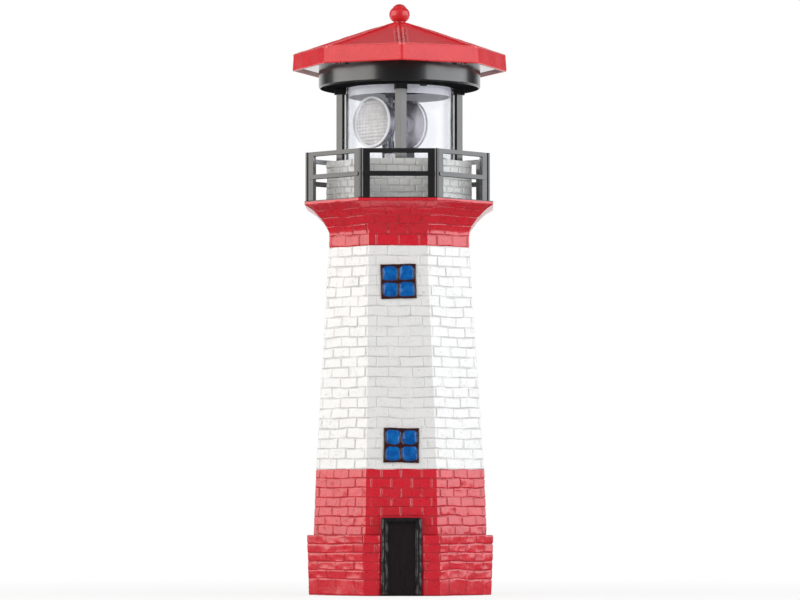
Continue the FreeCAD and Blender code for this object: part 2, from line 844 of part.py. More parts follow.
# The head.
def make_collar():
    """The collar tray with its eave flange, bracket posts and board stands."""
    inner = "(CollarRadius - CollarWall)"
    cup = revolved(
        "collar_cup",
        [
            ("0", "0"),
            ("CollarRadius - CollarRound", "0", "CollarRound"),
            ("CollarRadius", "CollarRound"),
            ("CollarRadius", "CollarHeight + EaveHeight"),
            (inner, "CollarHeight + EaveHeight"),
            (inner, "TrayFloor"),
            ("0", "TrayFloor"),
        ],
        z=COLLAR_LEVEL,
    )
    plate_reach = "min(FasciaFootReach; FasciaTopReach) - RoofWall - SeatGap"
    plate = octagon("eave_plate", plate_reach, "EaveHeight", EAVE_LEVEL, HALF_SECTOR)
    mouth = cylinder("eave_mouth", inner, "EaveHeight", z=EAVE_LEVEL)
    flange = cut("eave_flange", plate, [mouth])
    posts = [
        cylinder(
            f"bracket_post_{n}",
            "BracketPostRadius",
            "BracketRise",
            MOTOR_X,
            f"{side} * BracketPostSpread",
            TRAY_LEVEL,
        )
        for n, side in enumerate((-1, 1))
    ]
    stands = [
        cylinder(
            f"board_stand_{n}",
            "StandoffRadius",
            "StandoffRise",
            f"(-BoardPlaceX + {side} * (BoardLength / 2 - 2 * StandoffRadius))",
            "-BoardPlaceY",
            TRAY_LEVEL,
        )
        for n, side in enumerate((-1, 1))
    ]
    bush_hole = cylinder("bush_hole", "BushRadius", "TrayFloor", SPINDLE_X, 0, COLLAR_LEVEL)
    slot = box(
        "switch_slot",
        "KnobLength + SwitchTravel + 2 * SeatGap",
        "KnobWidth + 2 * SeatGap",
        "TrayFloor",
        "SwitchPlaceX",
        "-SwitchPlaceY",
        COLLAR_LEVEL,
    )
    bracket_holes = [
        cylinder(
            f"bracket_hole_{n}",
            "BracketScrewRadius",
            "BracketScrewLength",
            MOTOR_X,
            f"{side} * BracketPostSpread",
            f"{TRAY_LEVEL} + BracketRise - BracketScrewLength",
        )
        for n, side in enumerate((-1, 1))
    ]
    roof_holes = ring_of(
        "eave_hole",
        4,
        lambda n: cylinder(
            f"eave_hole_bore_{n}",
            "RoofScrewRadius + RunningGap",
            "EaveHeight",
            "RoofBossRing",
            0,
            EAVE_LEVEL,
        ),
        SECTOR,
    )
    solid = fuse("collar_solid", [cup, flange] + posts + stands)
    return cut("collar_housing", solid, [bush_hole, slot] + bracket_holes + roof_holes)


def facet_wedge(name, low, high, foot_reach, top_reach, margin, number):
    """A plate along one roof facet, between two depths below its face."""
    run_foot = f"((FasciaTopReach - ({foot_reach})) / {ROOF_COSINE})"
    run_top = f"((FasciaTopReach - ({top_reach})) / {ROOF_COSINE})"
    foot_half = f"(({foot_reach}) * tan({HALF_SECTOR}) - {margin})"
    top_half = f"(({top_reach}) * tan({HALF_SECTOR}) - {margin})"
    wedge = bind(
        add("Part::Wedge", f"{name}_{number}"),
        Xmin=f"-{foot_half}",
        Xmax=foot_half,
        X2min=f"-{top_half}",
        X2max=top_half,
        Ymin=run_foot,
        Ymax=run_top,
        Zmin=low,
        Zmax=high,
        Z2min=low,
        Z2max=high,
    )
    slope = math.degrees(math.atan(value(ROOF_SLOPE)))
    tilted = group(
        f"{name}_tilted_{number}",
        [wedge],
        Rotation(Vector(1, 0, 0), slope),
        0,
        "-FasciaTopReach",
        FASCIA_TOP,
    )
    return tilted


def hip_rib(number):
    """The round rib along one hip."""
    spread = math.radians(HALF_SECTOR)
    run = value(f"{ROOF_RUN}") / math.cos(spread)
    slope = math.degrees(math.atan(value("RoofRise") / run))
    foot = f"(FasciaTopReach / cos({HALF_SECTOR}) - HipRibRadius)"
    length = f"sqrt(pow({ROOF_RUN} / cos({HALF_SECTOR}); 2) + RoofRise * RoofRise) - HipRibRadius"
    lie = Rotation(Vector(0, 1, 0), slope - 90)
    drop = f"{FASCIA_TOP} + HipRibRadius * RoofRise / ({ROOF_RUN} / cos({HALF_SECTOR})) - HipRibRadius / 2"
    return cylinder(f"hip_rib_rod_{number}", "HipRibRadius", length, foot, 0, drop, lie)


def make_roof():
    """The roof shell: fascia, recessed facets, ribs on the hips and bosses for its screws."""
    span = "4 * FasciaFootReach"
    outside = octagonal(
        "roof_outside",
        [
            ("FasciaFootReach", FASCIA_FOOT),
            ("FasciaTopReach", FASCIA_TOP),
            ("NeckReach", NECK_LEVEL),
        ],
        span,
        HALF_SECTOR,
    )
    inside = octagonal(
        "roof_inside",
        [
            ("FasciaFootReach - RoofWall", FASCIA_FOOT),
            ("FasciaTopReach - RoofWall", f"{FASCIA_TOP} + RoofWall * {ROOF_SLOPE} - RoofWall"),
            ("NeckReach", f"{NECK_LEVEL} - RoofWall"),
        ],
        span,
        HALF_SECTOR,
    )
    shell = cut("roof_shell", outside, [inside])
    posts = ring_of(
        "roof_boss",
        4,
        lambda n: cylinder(
            f"roof_boss_post_{n}",
            "RoofBossRadius",
            "FasciaHeight + RoofRise",
            "RoofBossRing",
            0,
            FLANGE_LEVEL,
        ),
        SECTOR,
    )
    bosses = common("roof_bosses", [outside, group("roof_boss_posts", posts)])
    ribs = ring_of("hip_rib", 8, hip_rib)
    apex_reach = f"({FACET_APEX} * FacetBorder / tan({HALF_SECTOR}))"
    panels = ring_of(
        "facet_panel",
        8,
        lambda n: facet_wedge(
            "facet_recess",
            "-FacetRecess",
            "FacetRecess",
            "FasciaTopReach - LipBorder",
            apex_reach,
            "FacetBorder",
            n,
        ),
        HALF_SECTOR,
    )
    peg_hole = cylinder(
        "finial_hole",
        "FinialPegRadius + RunningGap",
        "3 * RoofWall",
        z=f"{NECK_LEVEL} - 2 * RoofWall",
    )
    seat = cylinder("finial_seat", "FinialFootRadius + SeatGap", "2 * HipRibRadius", z=NECK_LEVEL)
    boss_holes = ring_of(
        "boss_hole",
        4,
        lambda n: cylinder(
            f"boss_hole_bore_{n}",
            "RoofScrewRadius",
            "RoofScrewLength - EaveHeight",
            "RoofBossRing",
            0,
            FLANGE_LEVEL,
        ),
        SECTOR,
    )
    solid = fuse("roof_solid", [shell, bosses] + ribs)
    return cut("roof", solid, panels + [peg_hole, seat] + boss_holes)


def make_finial():
    """The flattened ball and its cap, on a peg through the neck of the roof."""
    half_chord = "((FinialBallHeight - FinialFootHeight) / 2)"
    bulge = "(FinialBallRadius - (FinialFootRadius + FinialCapRadius) / 2)"
    ball_arc = f"((pow({half_chord}; 2) + pow({bulge}; 2)) / (2 * {bulge}))"
    cap_arc = "((pow(FinialCapRadius; 2) + pow(FinialCapRise; 2)) / (2 * FinialCapRise))"
    return revolved(
        "finial",
        [
            ("0", "-FinialPegLength"),
            ("FinialPegRadius", "-FinialPegLength"),
            ("FinialPegRadius", "0"),
            ("FinialFootRadius", "0"),
            ("FinialFootRadius", "FinialFootHeight", ball_arc),
            ("FinialCapRadius", "FinialBallHeight"),
            ("FinialCapRadius", "FinialHeight - FinialCapRise", cap_arc),
            ("0", "FinialHeight"),
        ],
        z=NECK_LEVEL,
    )


def make_cells():
    """The solar cells behind the facets."""
    top = f"(-RoofWall * {ROOF_COSINE} - SeatGap)"
    cells = ring_of(
        "cell",
        8,
        lambda n: facet_wedge(
            "cell_plate", f"({top} - CellHeight)", top, "CellFootReach", "CellTopReach", "CellMargin", n
        ),
        HALF_SECTOR,
    )
    return group("solar_cells", cells)


def make_roof_screws():
    """The screws that hold the roof down on the eave flange, from below."""
    return screws(
        "roof_screws",
        4,
        "RoofBossRing",
        SECTOR,
        "RoofScrewRadius - RunningGap",
        "RoofScrewLength - RunningGap",
        "RoofScrewHeadRadius",
        "RoofScrewHeadHeight",
        EAVE_LEVEL,
        True,
    )


def make_board():
    """The charging and drive board with its components."""
    level = f"({TRAY_LEVEL} + StandoffRise)"
    plate = box(
        "board_plate",
        "BoardLength",
        "BoardWidth",
        "BoardHeight",
        "-BoardPlaceX",
        "-BoardPlaceY",
        level,
    )
    above = f"{level} + BoardHeight"
    chip = box("board_chip", "ChipWidth", "ChipWidth", "ChipHeight", "-BoardPlaceX", "-BoardPlaceY", above)
    coil = cylinder(
        "board_coil",
        "ChipWidth / 2",
        "2 * ChipHeight",
        "-BoardPlaceX + CoilPitch",
        "-BoardPlaceY",
        above,
    )
    return fuse("circuit_board", [plate, chip, coil])


HOLDER_LENGTH = "(BatteryLength + 2 * BatteryNubLength + 4 * ContactHeight + 2 * HolderWall)"
BATTERY_LEVEL = f"({TRAY_LEVEL} + HolderWall + BatteryRadius + RunningGap)"


def make_battery_holder():
    """The open cradle for the battery."""
    width = "(2 * BatteryRadius + 2 * HolderWall)"
    block = box("holder_block", HOLDER_LENGTH, width, "HolderHeight", 0, "BatteryPlace", TRAY_LEVEL)
    length = f"({HOLDER_LENGTH} - 2 * HolderWall)"
    trough = cylinder(
        "holder_trough",
        "BatteryRadius + RunningGap",
        length,
        f"-{length} / 2",
        "BatteryPlace",
        BATTERY_LEVEL,
        ALONG_X,
    )
    above = box(
        "holder_mouth",
        length,
        "2 * BatteryRadius",
        "HolderHeight",
        0,
        "BatteryPlace",
        BATTERY_LEVEL,
    )
    return cut("battery_holder", block, [trough, above])


def make_battery():
    """The round cell."""
    can = cylinder(
        "battery_can",
        "BatteryRadius",
        "BatteryLength",
        "-BatteryLength / 2",
        "BatteryPlace",
        BATTERY_LEVEL,
        ALONG_X,
    )
    nub = cylinder(
        "battery_nub",
        "BatteryNubRadius",
        "BatteryNubLength",
        "BatteryLength / 2",
        "BatteryPlace",
        BATTERY_LEVEL,
        ALONG_X,
    )
    return fuse("battery", [can, nub])


def make_contacts():
    """The two contact plates at the ends of the battery, one with its spring boss."""
    inner = f"({HOLDER_LENGTH} / 2 - HolderWall)"
    plates = []
    for n, side in enumerate((-1, 1)):
        plate = box(
            f"contact_plate_{n}",
            "ContactHeight",
            "ContactWidth",
            "ContactWidth",
            f"{side} * ({inner} - ContactHeight / 2)",
            "BatteryPlace",
            f"{BATTERY_LEVEL} - BatteryNubRadius",
        )
        plates.append(plate)
    boss = cylinder(
        "contact_boss",
        "BatteryNubRadius",
        f"{inner} - ContactHeight - BatteryLength / 2 - RunningGap",
        f"-({inner} - ContactHeight)",
        "BatteryPlace",
        BATTERY_LEVEL,
        ALONG_X,
    )
    sprung = fuse("contact_sprung", [plates[0], boss])
    return group("battery_contacts", [sprung, plates[1]])


def make_switch_body():
    """The case of the slide switch, open below for its slider."""
    case = box(
        "switch_case",
        "SwitchLength",
        "SwitchWidth",
        "SwitchHeight",
        "SwitchPlaceX",
        "-SwitchPlaceY",
        TRAY_LEVEL,
    )
    room = box(
        "switch_room",
        "SliderLength + SwitchTravel + 2 * SeatGap",
        "SliderWidth + 2 * SeatGap",
        "SliderHeight + 2 * SeatGap",
        "SwitchPlaceX",
        "-SwitchPlaceY",
        TRAY_LEVEL,
    )
    return cut("switch_body", case, [room])


def make_switch_knob():
    """The slider of the switch with the knob that shows under the collar."""
    x = "(SwitchPlaceX - SwitchTravel / 2)"
    slider = box(
        "knob_slider",
        "SliderLength",
        "SliderWidth",
        "SliderHeight",
        x,
        "-SwitchPlaceY",
        f"{TRAY_LEVEL} + SeatGap",
    )
    stem = box(
        "knob_stem",
        "KnobLength",
        "KnobWidth",
        "KnobDrop + TrayFloor + SeatGap",
        x,
        "-SwitchPlaceY",
        f"{COLLAR_LEVEL} - KnobDrop",
    )
    return fuse("switch_knob", [slider, stem])


# The drive.
def gear_shape(teeth, bore, sleeve=0.0, sleeve_length=0.0):
    """A spur gear with involute flanks and stub teeth, a tooth centred on +X."""
    module = value("GearModule")
    pitch = teeth * module / 2
    pressure = math.radians(PRESSURE_ANGLE)
    base = pitch * math.cos(pressure)
    tip = pitch + TOOTH_TIP * module
    root = pitch - TOOTH_ROOT * module
    half = math.pi / (2 * teeth) - value("GearBacklash") / (2 * pitch)

    def flank(radius):
        angle = math.acos(min(1.0, base / radius))
        return half + math.tan(pressure) - pressure - math.tan(angle) + angle

    start = max(base, root)
    radii = [start + (tip - start) * step / 3 for step in range(4)]
    side = [(root, flank(start))] if root < base else []
    side += [(radius, flank(radius)) for radius in radii]
    corners = []
    for tooth in range(teeth):
        middle = 2 * math.pi * tooth / teeth
        corners += [(radius, middle - angle) for radius, angle in side]
        corners += [(radius, middle + angle) for radius, angle in reversed(side)]
    points = [Vector(radius * math.cos(angle), radius * math.sin(angle), 0) for radius, angle in corners]
    wheel = Part.Face(Part.makePolygon(points + points[:1])).extrude(Vector(0, 0, value("GearWidth")))
    if sleeve:
        wheel = wheel.fuse(Part.makeCylinder(sleeve, sleeve_length))
    reach = max(sleeve_length, value("GearWidth"))
    return wheel.cut(Part.makeCylinder(bore, reach)).removeSplitter()


def make_gear(name, shape, x, angle):
    """A gear at its place in the train."""
    made = doc.addObject("Part::Feature", name)
    made.Shape = shape
    made.Placement = Placement(Vector(value(x), 0, value(GEAR_LEVEL)), turn(angle))
    return made


def make_spindle_gear():
    """The large gear, with the sleeve that carries the slip rings."""
    bore = value("SpindleRadius + RunningGap / 5")
    teeth = int(value("SpindleGearTeeth"))
    shape = gear_shape(teeth, bore, value("SleeveRadius"), value("GearWidth + SleeveLength"))
    return make_gear("spindle_gear", shape, SPINDLE_X, 0)


def make_pinion():
    """The motor's pinion, turned so that a gap meets the large gear's tooth."""
    teeth = int(value("PinionTeeth"))
    shape = gear_shape(teeth, value("MotorShaftRadius + RunningGap / 5"))
    gap = 0 if teeth % 2 else 180 / teeth
    return make_gear("motor_pinion", shape, MOTOR_X, gap)


BRACKET_LEVEL = f"({TRAY_LEVEL} + BracketRise)"
MOTOR_LEVEL = f"({BRACKET_LEVEL} + BracketHeight)"


def make_motor():
    """The gear motor: gearbox below, can above, with a bore for its shaft."""
    gearbox = box(
        "motor_gearbox",
        "MotorLength",
        "MotorDepth",
        "GearboxHeight",
        MOTOR_X,
        0,
        MOTOR_LEVEL,
    )
    can = common(
        "motor_can",
        [
            cylinder(
                "motor_round",
                "MotorLength / 2",
                "MotorHeight - GearboxHeight",
                MOTOR_X,
                0,
                f"{MOTOR_LEVEL} + GearboxHeight",
            ),
            box(
                "motor_flats",
                "MotorLength",
                "MotorDepth",
                "MotorHeight - GearboxHeight",
                MOTOR_X,
                0,
                f"{MOTOR_LEVEL} + GearboxHeight",
            ),
        ],
    )
    bore = cylinder(
        "motor_bore",
        "MotorShaftRadius + RunningGap",
        "MotorBoreDepth",
        MOTOR_X,
        0,
        MOTOR_LEVEL,
    )
    return cut("gear_motor", fuse("motor_solid", [gearbox, can]), [bore])


def make_motor_shaft():
    """The output shaft, from the pinion's foot up into the gearbox."""
    length = f"({MOTOR_LEVEL} - {GEAR_LEVEL} + MotorBoreDepth - SeatGap)"
    return cylinder("motor_shaft", "MotorShaftRadius", length, MOTOR_X, 0, GEAR_LEVEL)


def make_bracket():
    """The plate that carries the motor on the tray's posts."""
    length = "2 * (BracketPostSpread + BracketPostRadius)"
    plate = box("bracket_plate", "BracketWidth", length, "BracketHeight", MOTOR_X, 0, BRACKET_LEVEL)
    holes = [
        cylinder(
            f"plate_hole_{n}",
            "BracketScrewRadius + RunningGap",
            "BracketHeight",
            MOTOR_X,
            f"{side} * BracketPostSpread",
            BRACKET_LEVEL,
        )
        for n, side in enumerate((-1, 1))
    ]
    shaft_hole = cylinder(
        "plate_shaft_hole",
        "MotorShaftRadius + SeatGap",
        "BracketHeight",
        MOTOR_X,
        0,
        BRACKET_LEVEL,
    )
    return cut("motor_bracket", plate, holes + [shaft_hole])


def make_bracket_screws():
    """The two screws of the motor bracket."""
    members = []
    for n, side in enumerate((-1, 1)):
        y = f"{side} * BracketPostSpread"
        length = "(BracketScrewLength - SeatGap + BracketHeight)"
        shank = cylinder(
            f"bracket_shank_{n}",
            "BracketScrewRadius - RunningGap",
            length,
            MOTOR_X,
            y,
            f"{MOTOR_LEVEL} - {length}",
        )
        head = cylinder(
            f"bracket_head_{n}", "BracketScrewHeadRadius", "BracketScrewHeadHeight", MOTOR_X, y, MOTOR_LEVEL
        )
        members.append(fuse(f"bracket_screw_{n}", [shank, head]))
    return group("bracket_screws", members)


def make_bush():
    """The flanged bush that the spindle turns in, seen under the collar as a round boss."""
    bore = "(SpindleRadius + RunningGap)"
    neck = "(BushRadius - RunningGap)"
    return revolved(
        "spindle_bush",
        [
            (bore, "-BushDrop"),
            (neck, "-BushDrop"),
            (neck, "TrayFloor"),
            ("BushFlangeRadius", "TrayFloor"),
            ("BushFlangeRadius", "TrayFloor + BushFlangeHeight"),
            (bore, "TrayFloor + BushFlangeHeight"),
        ],
        x=SPINDLE_X,
        z=COLLAR_LEVEL,
    )


RING_LEVEL = f"({GEAR_LEVEL} + GearWidth + SlipRingPitch)"


def make_slip_rings():
    """The two brass rings on the gear's sleeve."""
    bore = "(SleeveRadius + RunningGap / 5)"
    rings = []
    for n in range(2):
        level = f"{RING_LEVEL} + {n} * SlipRingPitch"
        outside = f"{bore} + SlipRingWall"
        rings.append(tube(f"slip_ring_{n}", outside, bore, "SlipRingWidth", SPINDLE_X, 0, level))
    return group("slip_rings", rings)


BRUSH_X = "(-(SpindleOffset + BrushReach))"
BRUSH_Y = "(SleeveRadius + SlipRingWall + BrushStripHeight)"


def make_brush_block():
    """The upright that holds the brushes, on the tray floor beside the gear."""
    height = f"({RING_LEVEL} - {TRAY_LEVEL} + 2 * SlipRingPitch)"
    return box("brush_block", "BrushBlockLength", "BrushBlockDepth", height, BRUSH_X, 0, TRAY_LEVEL)


def make_brushes():
    """The brass strips that lie along the slip rings."""
    start = f"({BRUSH_X} + BrushBlockLength / 2)"
    length = "(BrushReach - BrushBlockLength / 2 + SleeveRadius)"
    strips = []
    for n, side in enumerate((-1, 1)):
        strips.append(
            box(
                f"brush_strip_{n}",
                length,
                "BrushStripHeight",
                "SlipRingWidth",
                f"({start} + {length} / 2)",
                f"{side} * ({BRUSH_Y} + RunningGap)",
                f"{RING_LEVEL} + {n} * SlipRingPitch",
            )
        )
    return group("brushes", strips)


# The beacon.
def make_spindle():
    """The spindle, from the pivot cup up through the gear's sleeve."""
    foot = f"({FLOOR_LEVEL} + PivotFloor + SeatGap / 3)"
    top = f"({GEAR_LEVEL} + GearWidth + SleeveLength)"
    return cylinder("spindle", "SpindleRadius", f"{top} - {foot}", SPINDLE_X, 0, foot)


def make_hub():
    """The white core between the two heads, bored for the spindle and the lamps."""
    heading = turn(BEACON_HEADING).multiply(UPRIGHT)
    core = cylinder("hub_core", "HubRadius", "2 * HubHalfLength", 0, 0, "-HubHalfLength")
    barrel = group("hub_barrel", [core], heading, SPINDLE_X, 0, HUB_LEVEL)
    bore = cylinder(
        "hub_bore",
        "SpindleRadius + RunningGap / 5",
        "2 * HubRadius",
        SPINDLE_X,
        0,
        f"{HUB_LEVEL} - HubRadius",
    )
    return cut("beacon_hub", barrel, [bore])


def heading_of(side):
    """The rotation that lays a head's own axis along its heading, on one side or the other."""
    return turn(BEACON_HEADING + (0 if side > 0 else 180)).multiply(UPRIGHT)


def make_bowl(name, side):
    """A clear head: a bowl that opens from the hub to its rim."""
    inner = "(BowlRimRadius - BowlWall)"
    lip = "(BowlReach - BowlRimLip)"
    bore = "(HubRadius + RunningGap)"
    rim_far = f"(pow(BowlRimRadius; 2) + pow({lip}; 2))"
    foot_far = "(pow(BowlFootRadius; 2) + pow(BowlFoot; 2))"
    centre = f"(({rim_far} - {foot_far}) / (2 * ({lip} - BowlFoot)))"
    outer_arc = f"sqrt(pow(BowlFootRadius; 2) + pow({centre} - BowlFoot; 2))"
    inner_arc = f"({outer_arc} - BowlWall)"
    rim_height = f"({centre} - sqrt(pow({inner_arc}; 2) - pow({inner}; 2)))"
    floor_radius = f"sqrt(pow({inner_arc}; 2) - pow({centre} - BowlFoot - BowlWall; 2))"
    return revolved(
        name,
        [
            (bore, "BowlFoot"),
            ("BowlFootRadius", "BowlFoot", outer_arc),
            ("BowlRimRadius", lip),
            ("BowlRimRadius", "BowlReach"),
            (inner, "BowlReach"),
            (inner, rim_height, f"-{inner_arc}"),
            (floor_radius, "BowlFoot + BowlWall"),
            (bore, "BowlFoot + BowlWall"),
        ],
        x=SPINDLE_X,
        z=HUB_LEVEL,
        rotation=heading_of(side),
    )


def make_lens(name, side):
    """The lens set back in a head's rim, crowned towards the front."""
    radius = "(BowlRimRadius - BowlWall - RunningGap)"
    back = "(BowlReach - LensRecess - LensHeight)"
    front = "(BowlReach - LensRecess)"
    crown = f"((pow({radius}; 2) + LensCrown * LensCrown) / (2 * LensCrown))"
    return revolved(
        name,
        [
            ("0", back),
            (radius, back),
            (radius, front, crown),
            ("0", f"{front} + LensCrown"),
        ],
        x=SPINDLE_X,
        z=HUB_LEVEL,
        rotation=heading_of(side),
    )


def make_lamps():
    """A small domed lamp on each end of the hub."""
    foot = "(HubHalfLength + RunningGap)"
    lamps = [
        revolved(
            f"lamp_{n}",
            [
                ("0", foot),
                ("LampRadius", foot),
                ("LampRadius", f"{foot} + LampLength", "LampRadius"),
                ("0", f"{foot} + LampLength + LampRadius"),
            ],
            x=SPINDLE_X,
            z=HUB_LEVEL,
            rotation=heading_of(side),
        )
        for n, side in enumerate((1, -1))
    ]
    return group("lamps", lamps)


def make_stem():
    """The clear stem below the hub, round the spindle."""
    foot = f"({FLOOR_LEVEL} + PivotHeight + SeatGap)"
    height = f"{HUB_LEVEL} - HubRadius - {foot}"
    return tube("beacon_stem", "StemRadius", "SpindleRadius + RunningGap / 5", height, SPINDLE_X, 0, foot)


NODES = [
    make_tower(),
    make_base_plate(),
    make_railing(),
    make_cage(),
    make_cage_screws(),
    make_window(),
    make_window_ring(),
    make_pivot_cup(),
    make_collar(),
    make_roof(),
    make_finial(),
    make_cells(),
    make_roof_screws(),
    make_board(),
    make_battery_holder(),
    make_battery(),
    make_contacts(),
    make_switch_body(),
    make_motor(),
    make_bracket(),
    make_bracket_screws(),
    make_bush(),
    make_brush_block(),
    make_brushes(),
    make_spindle(),
    make_spindle_gear(),
    make_slip_rings(),
    make_hub(),
    make_stem(),
    make_bowl("front_bowl", 1),
    make_bowl("rear_bowl", -1),
    make_lens("front_lens", 1),
    make_lens("rear_lens", -1),
    make_lamps(),
    make_motor_shaft(),
    make_pinion(),
    make_switch_knob(),
]

doc.recompute()
for item in doc.Objects:
    broken = {"Invalid", "Error"} & set(item.State)
    if broken:
        raise RuntimeError(f"{item.Name} is {broken}")
for node in NODES:
    if node.Shape.isNull() or not node.Shape.isValid() or not node.Shape.Solids:
        raise RuntimeError(f"{node.Label} has no good solid")

os.makedirs("parts", exist_ok=True)
for node in NODES:
    node.Shape.exportStep(f"parts/{node.Label}.step")
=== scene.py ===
"""Garden lighthouse ornament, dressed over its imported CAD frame. The front looks along -Y.

The masonry, door, windows, roof, lenses and lamp cups are modelled here. The moulded and
metal parts of the CAD frame stay and get their materials.
"""
import json
import math

import bpy
import numpy as np
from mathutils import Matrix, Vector


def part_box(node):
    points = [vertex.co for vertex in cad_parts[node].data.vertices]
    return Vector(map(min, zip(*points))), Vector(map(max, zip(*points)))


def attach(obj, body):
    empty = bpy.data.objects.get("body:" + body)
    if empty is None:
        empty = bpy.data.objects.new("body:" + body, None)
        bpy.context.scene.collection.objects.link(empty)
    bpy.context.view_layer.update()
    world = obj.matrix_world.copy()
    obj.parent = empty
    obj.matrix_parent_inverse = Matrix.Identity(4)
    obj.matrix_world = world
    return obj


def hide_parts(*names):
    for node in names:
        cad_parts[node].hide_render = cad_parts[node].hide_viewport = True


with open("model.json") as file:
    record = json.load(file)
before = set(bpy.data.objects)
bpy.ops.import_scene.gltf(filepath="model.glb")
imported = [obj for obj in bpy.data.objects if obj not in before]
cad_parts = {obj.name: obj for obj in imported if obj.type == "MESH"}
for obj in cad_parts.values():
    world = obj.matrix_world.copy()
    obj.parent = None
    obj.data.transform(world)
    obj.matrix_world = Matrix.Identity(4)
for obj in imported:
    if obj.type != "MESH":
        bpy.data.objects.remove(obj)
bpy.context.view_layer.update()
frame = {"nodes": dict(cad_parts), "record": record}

MM = 0.001
SIDES = 8
SECTOR = 2 * math.pi / SIDES
HALF_TAN = math.tan(SECTOR / 2)
FRONT = -math.pi / 2

# Masonry, in millimetres. A reach is the distance from the axis to a flat.
PLINTH_FOOT = 0.2
PLINTH_UNDERSIDE = 6.0
PLINTH_TOP = 36.0
PLINTH_FOOT_REACH = 54.8
PLINTH_REACH = 56.0
BAND_TOP = 75.5
BAND_FOOT_REACH = 52.0
SHAFT_FOOT_REACH = 50.5
SHAFT_TOP = 209.5
SHAFT_TOP_REACH = 42.4
COVE_FOOT = 219.0
COVE_RADIUS = 32.0
CORNICE_FOOT = 235.2
DECK = 237.5
CORNICE_REACH = 57.0
DRUM_REACH = 43.9
DRUM_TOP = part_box("tower_casting")[1].z / MM - 0.1
CAGE_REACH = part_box("lantern_cage")[1].x / MM
COLLAR_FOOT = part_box("collar_housing")[0].z
TWIST = math.radians(-2.3)
RING_RETURN = 2.0
BAND_LAP = 0.5
SHAFT_LAP = 0.3
TALL_COURSE = 9.6
SHORT_COURSE = 5.4
CROWN_COURSE = 6.6

# Relief of the brickwork, in millimetres. The floor and the lip of a joint are shares of its
# half width. Beside a frame and past the last course a share of the bricks' relief is left.
# A row or column of the grid lies at each of the places from a joint or an edge.
JOINT_DEPTH = 0.42
JOINT_HALF = 0.42
JOINT_FLOOR = 0.35
JOINT_LIP = 1.3
JOINT_UNEVEN = 0.35
BRICK_STEP = 0.22
BRICK_SWELL = 0.14
BRICK_GRAIN = 0.07
BRICK_HIGHEST = 0.2
BRICK_SWAY = 0.5
BRICK_LIFT = 0.28
BRICK_MARGIN = 1.0
FRAME_HALO = 1.0
FRAME_RELIEF = 0.3
PLAIN_RELIEF = 0.25
JOINT_ROWS = [0, 0.22, 0.45, 0.7]
EDGE_ROWS = [-0.5, -0.2, 0, 0.2, 0.5]
ROW_GAP = 0.05
BRICK_PLACES = [0, 0.04, 0.08, 0.14, 0.25, 0.5, 0.75, 0.86, 0.92, 0.96]
CORNER_GAP = 0.02

# Door and windows, in millimetres.
DOOR_WIDTH = 24.6
DOOR_HEIGHT = 46.6
DOOR_FACE = 56.2
DOOR_JAMB = 3.9
DOOR_RECESS = 1.5
DOOR_BACK = 50.0
DOOR_FOOT = 0.15
DOOR_FRAME = 5.0
RIDGE_HEIGHT = 0.62
RIDGE_INSET = 0.9
RIDGE_WIDTH = 2.5
WINDOW_WIDTH = 21.8
WINDOW_HEIGHT = 21.1
WINDOW_FRAME = 1.5
WINDOW_MUNTIN = 1.3
WINDOW_PROUD = 0.9
WINDOW_SUNK = 1.2
WINDOW_GRID = 64
WINDOW_BEND = 0.22
PANE_PILLOW = 0.7
BAR_HEIGHT = 0.5
LOWER_WINDOW = 89.6
UPPER_WINDOW = 187.8

# Beacon, in millimetres. Its heads look along the diagonal, to the front left and the rear right.
SPINDLE_X = -5.5
HUB_LEVEL = (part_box("front_bowl")[0].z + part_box("front_bowl")[1].z) / 2 / MM
DIAGONAL = math.sqrt(0.5)
HEAD_REACH = 17.0
CUP_RADIUS = 5.6
CUP_START = 9.6
CUP_FLOOR = 10.2
CUP_THROAT = 11.0
CUP_END = 14.3
LAMP_ROOM = 2.7
LENS_RINGS = 88
LENS_SPOKES = 260
LENS_RADIUS = 14.2
LENS_FRONT = 15.6
LENS_BACK = 14.6
LENS_CROWN = 0.6
PEBBLE = 2.1
PEBBLE_STRETCH = 0.8
PEBBLE_HEIGHT = 0.5

# Camera and studio, in metres.
CAMERA_DISTANCE = 2.5
CAMERA_HEIGHT = 0.047
CAMERA_TURN = math.radians(-1.3)
CAMERA_AIM = Vector((0.0003, 0, 0.1789))
CAMERA_LENS = 185.0
SENSOR = 36.0
FLOOR_HALF = 4.0
SIDE_BOX_AIM = (0, 0, 0.2)
SIDE_BOX_SIZE = (1.95, 1.5)


# Numbers and meshes.
def smooth(low, high, x):
    """0 below low, 1 above high, and a smooth rise between."""
    t = np.clip((x - low) / (high - low), 0, 1)
    return t * t * (3 - 2 * t)


def waves(points, size, seed, count=9):
    """A smooth uneven field of about -1 to 1, whose swells are about size long."""
    source = np.random.default_rng(seed)
    total = np.zeros(points.shape[:-1])
    for _ in range(count):
        heading = source.normal(size=3)
        heading *= 2 * math.pi * source.uniform(0.6, 1.5) / size / np.linalg.norm(heading)
        total += np.sin(points @ heading + source.uniform(0, 2 * math.pi))
    return total / math.sqrt(count)


def scatter(a, b, seed):
    """A number from 0 to 1 for each pair of whole numbers."""
    mixed = np.sin(a * 12.9898 + b * 78.233 + seed * 37.719) * 43758.5453
    return mixed - np.floor(mixed)


def around(face, reach, across, height):
    """Points on the flats of an octagon: across runs along the flat."""
    angle = FRONT + SECTOR * face
    x = np.cos(angle) * reach - np.sin(angle) * across
    y = np.sin(angle) * reach + np.cos(angle) * across
    return np.stack(np.broadcast_arrays(x, y, height), axis=-1)


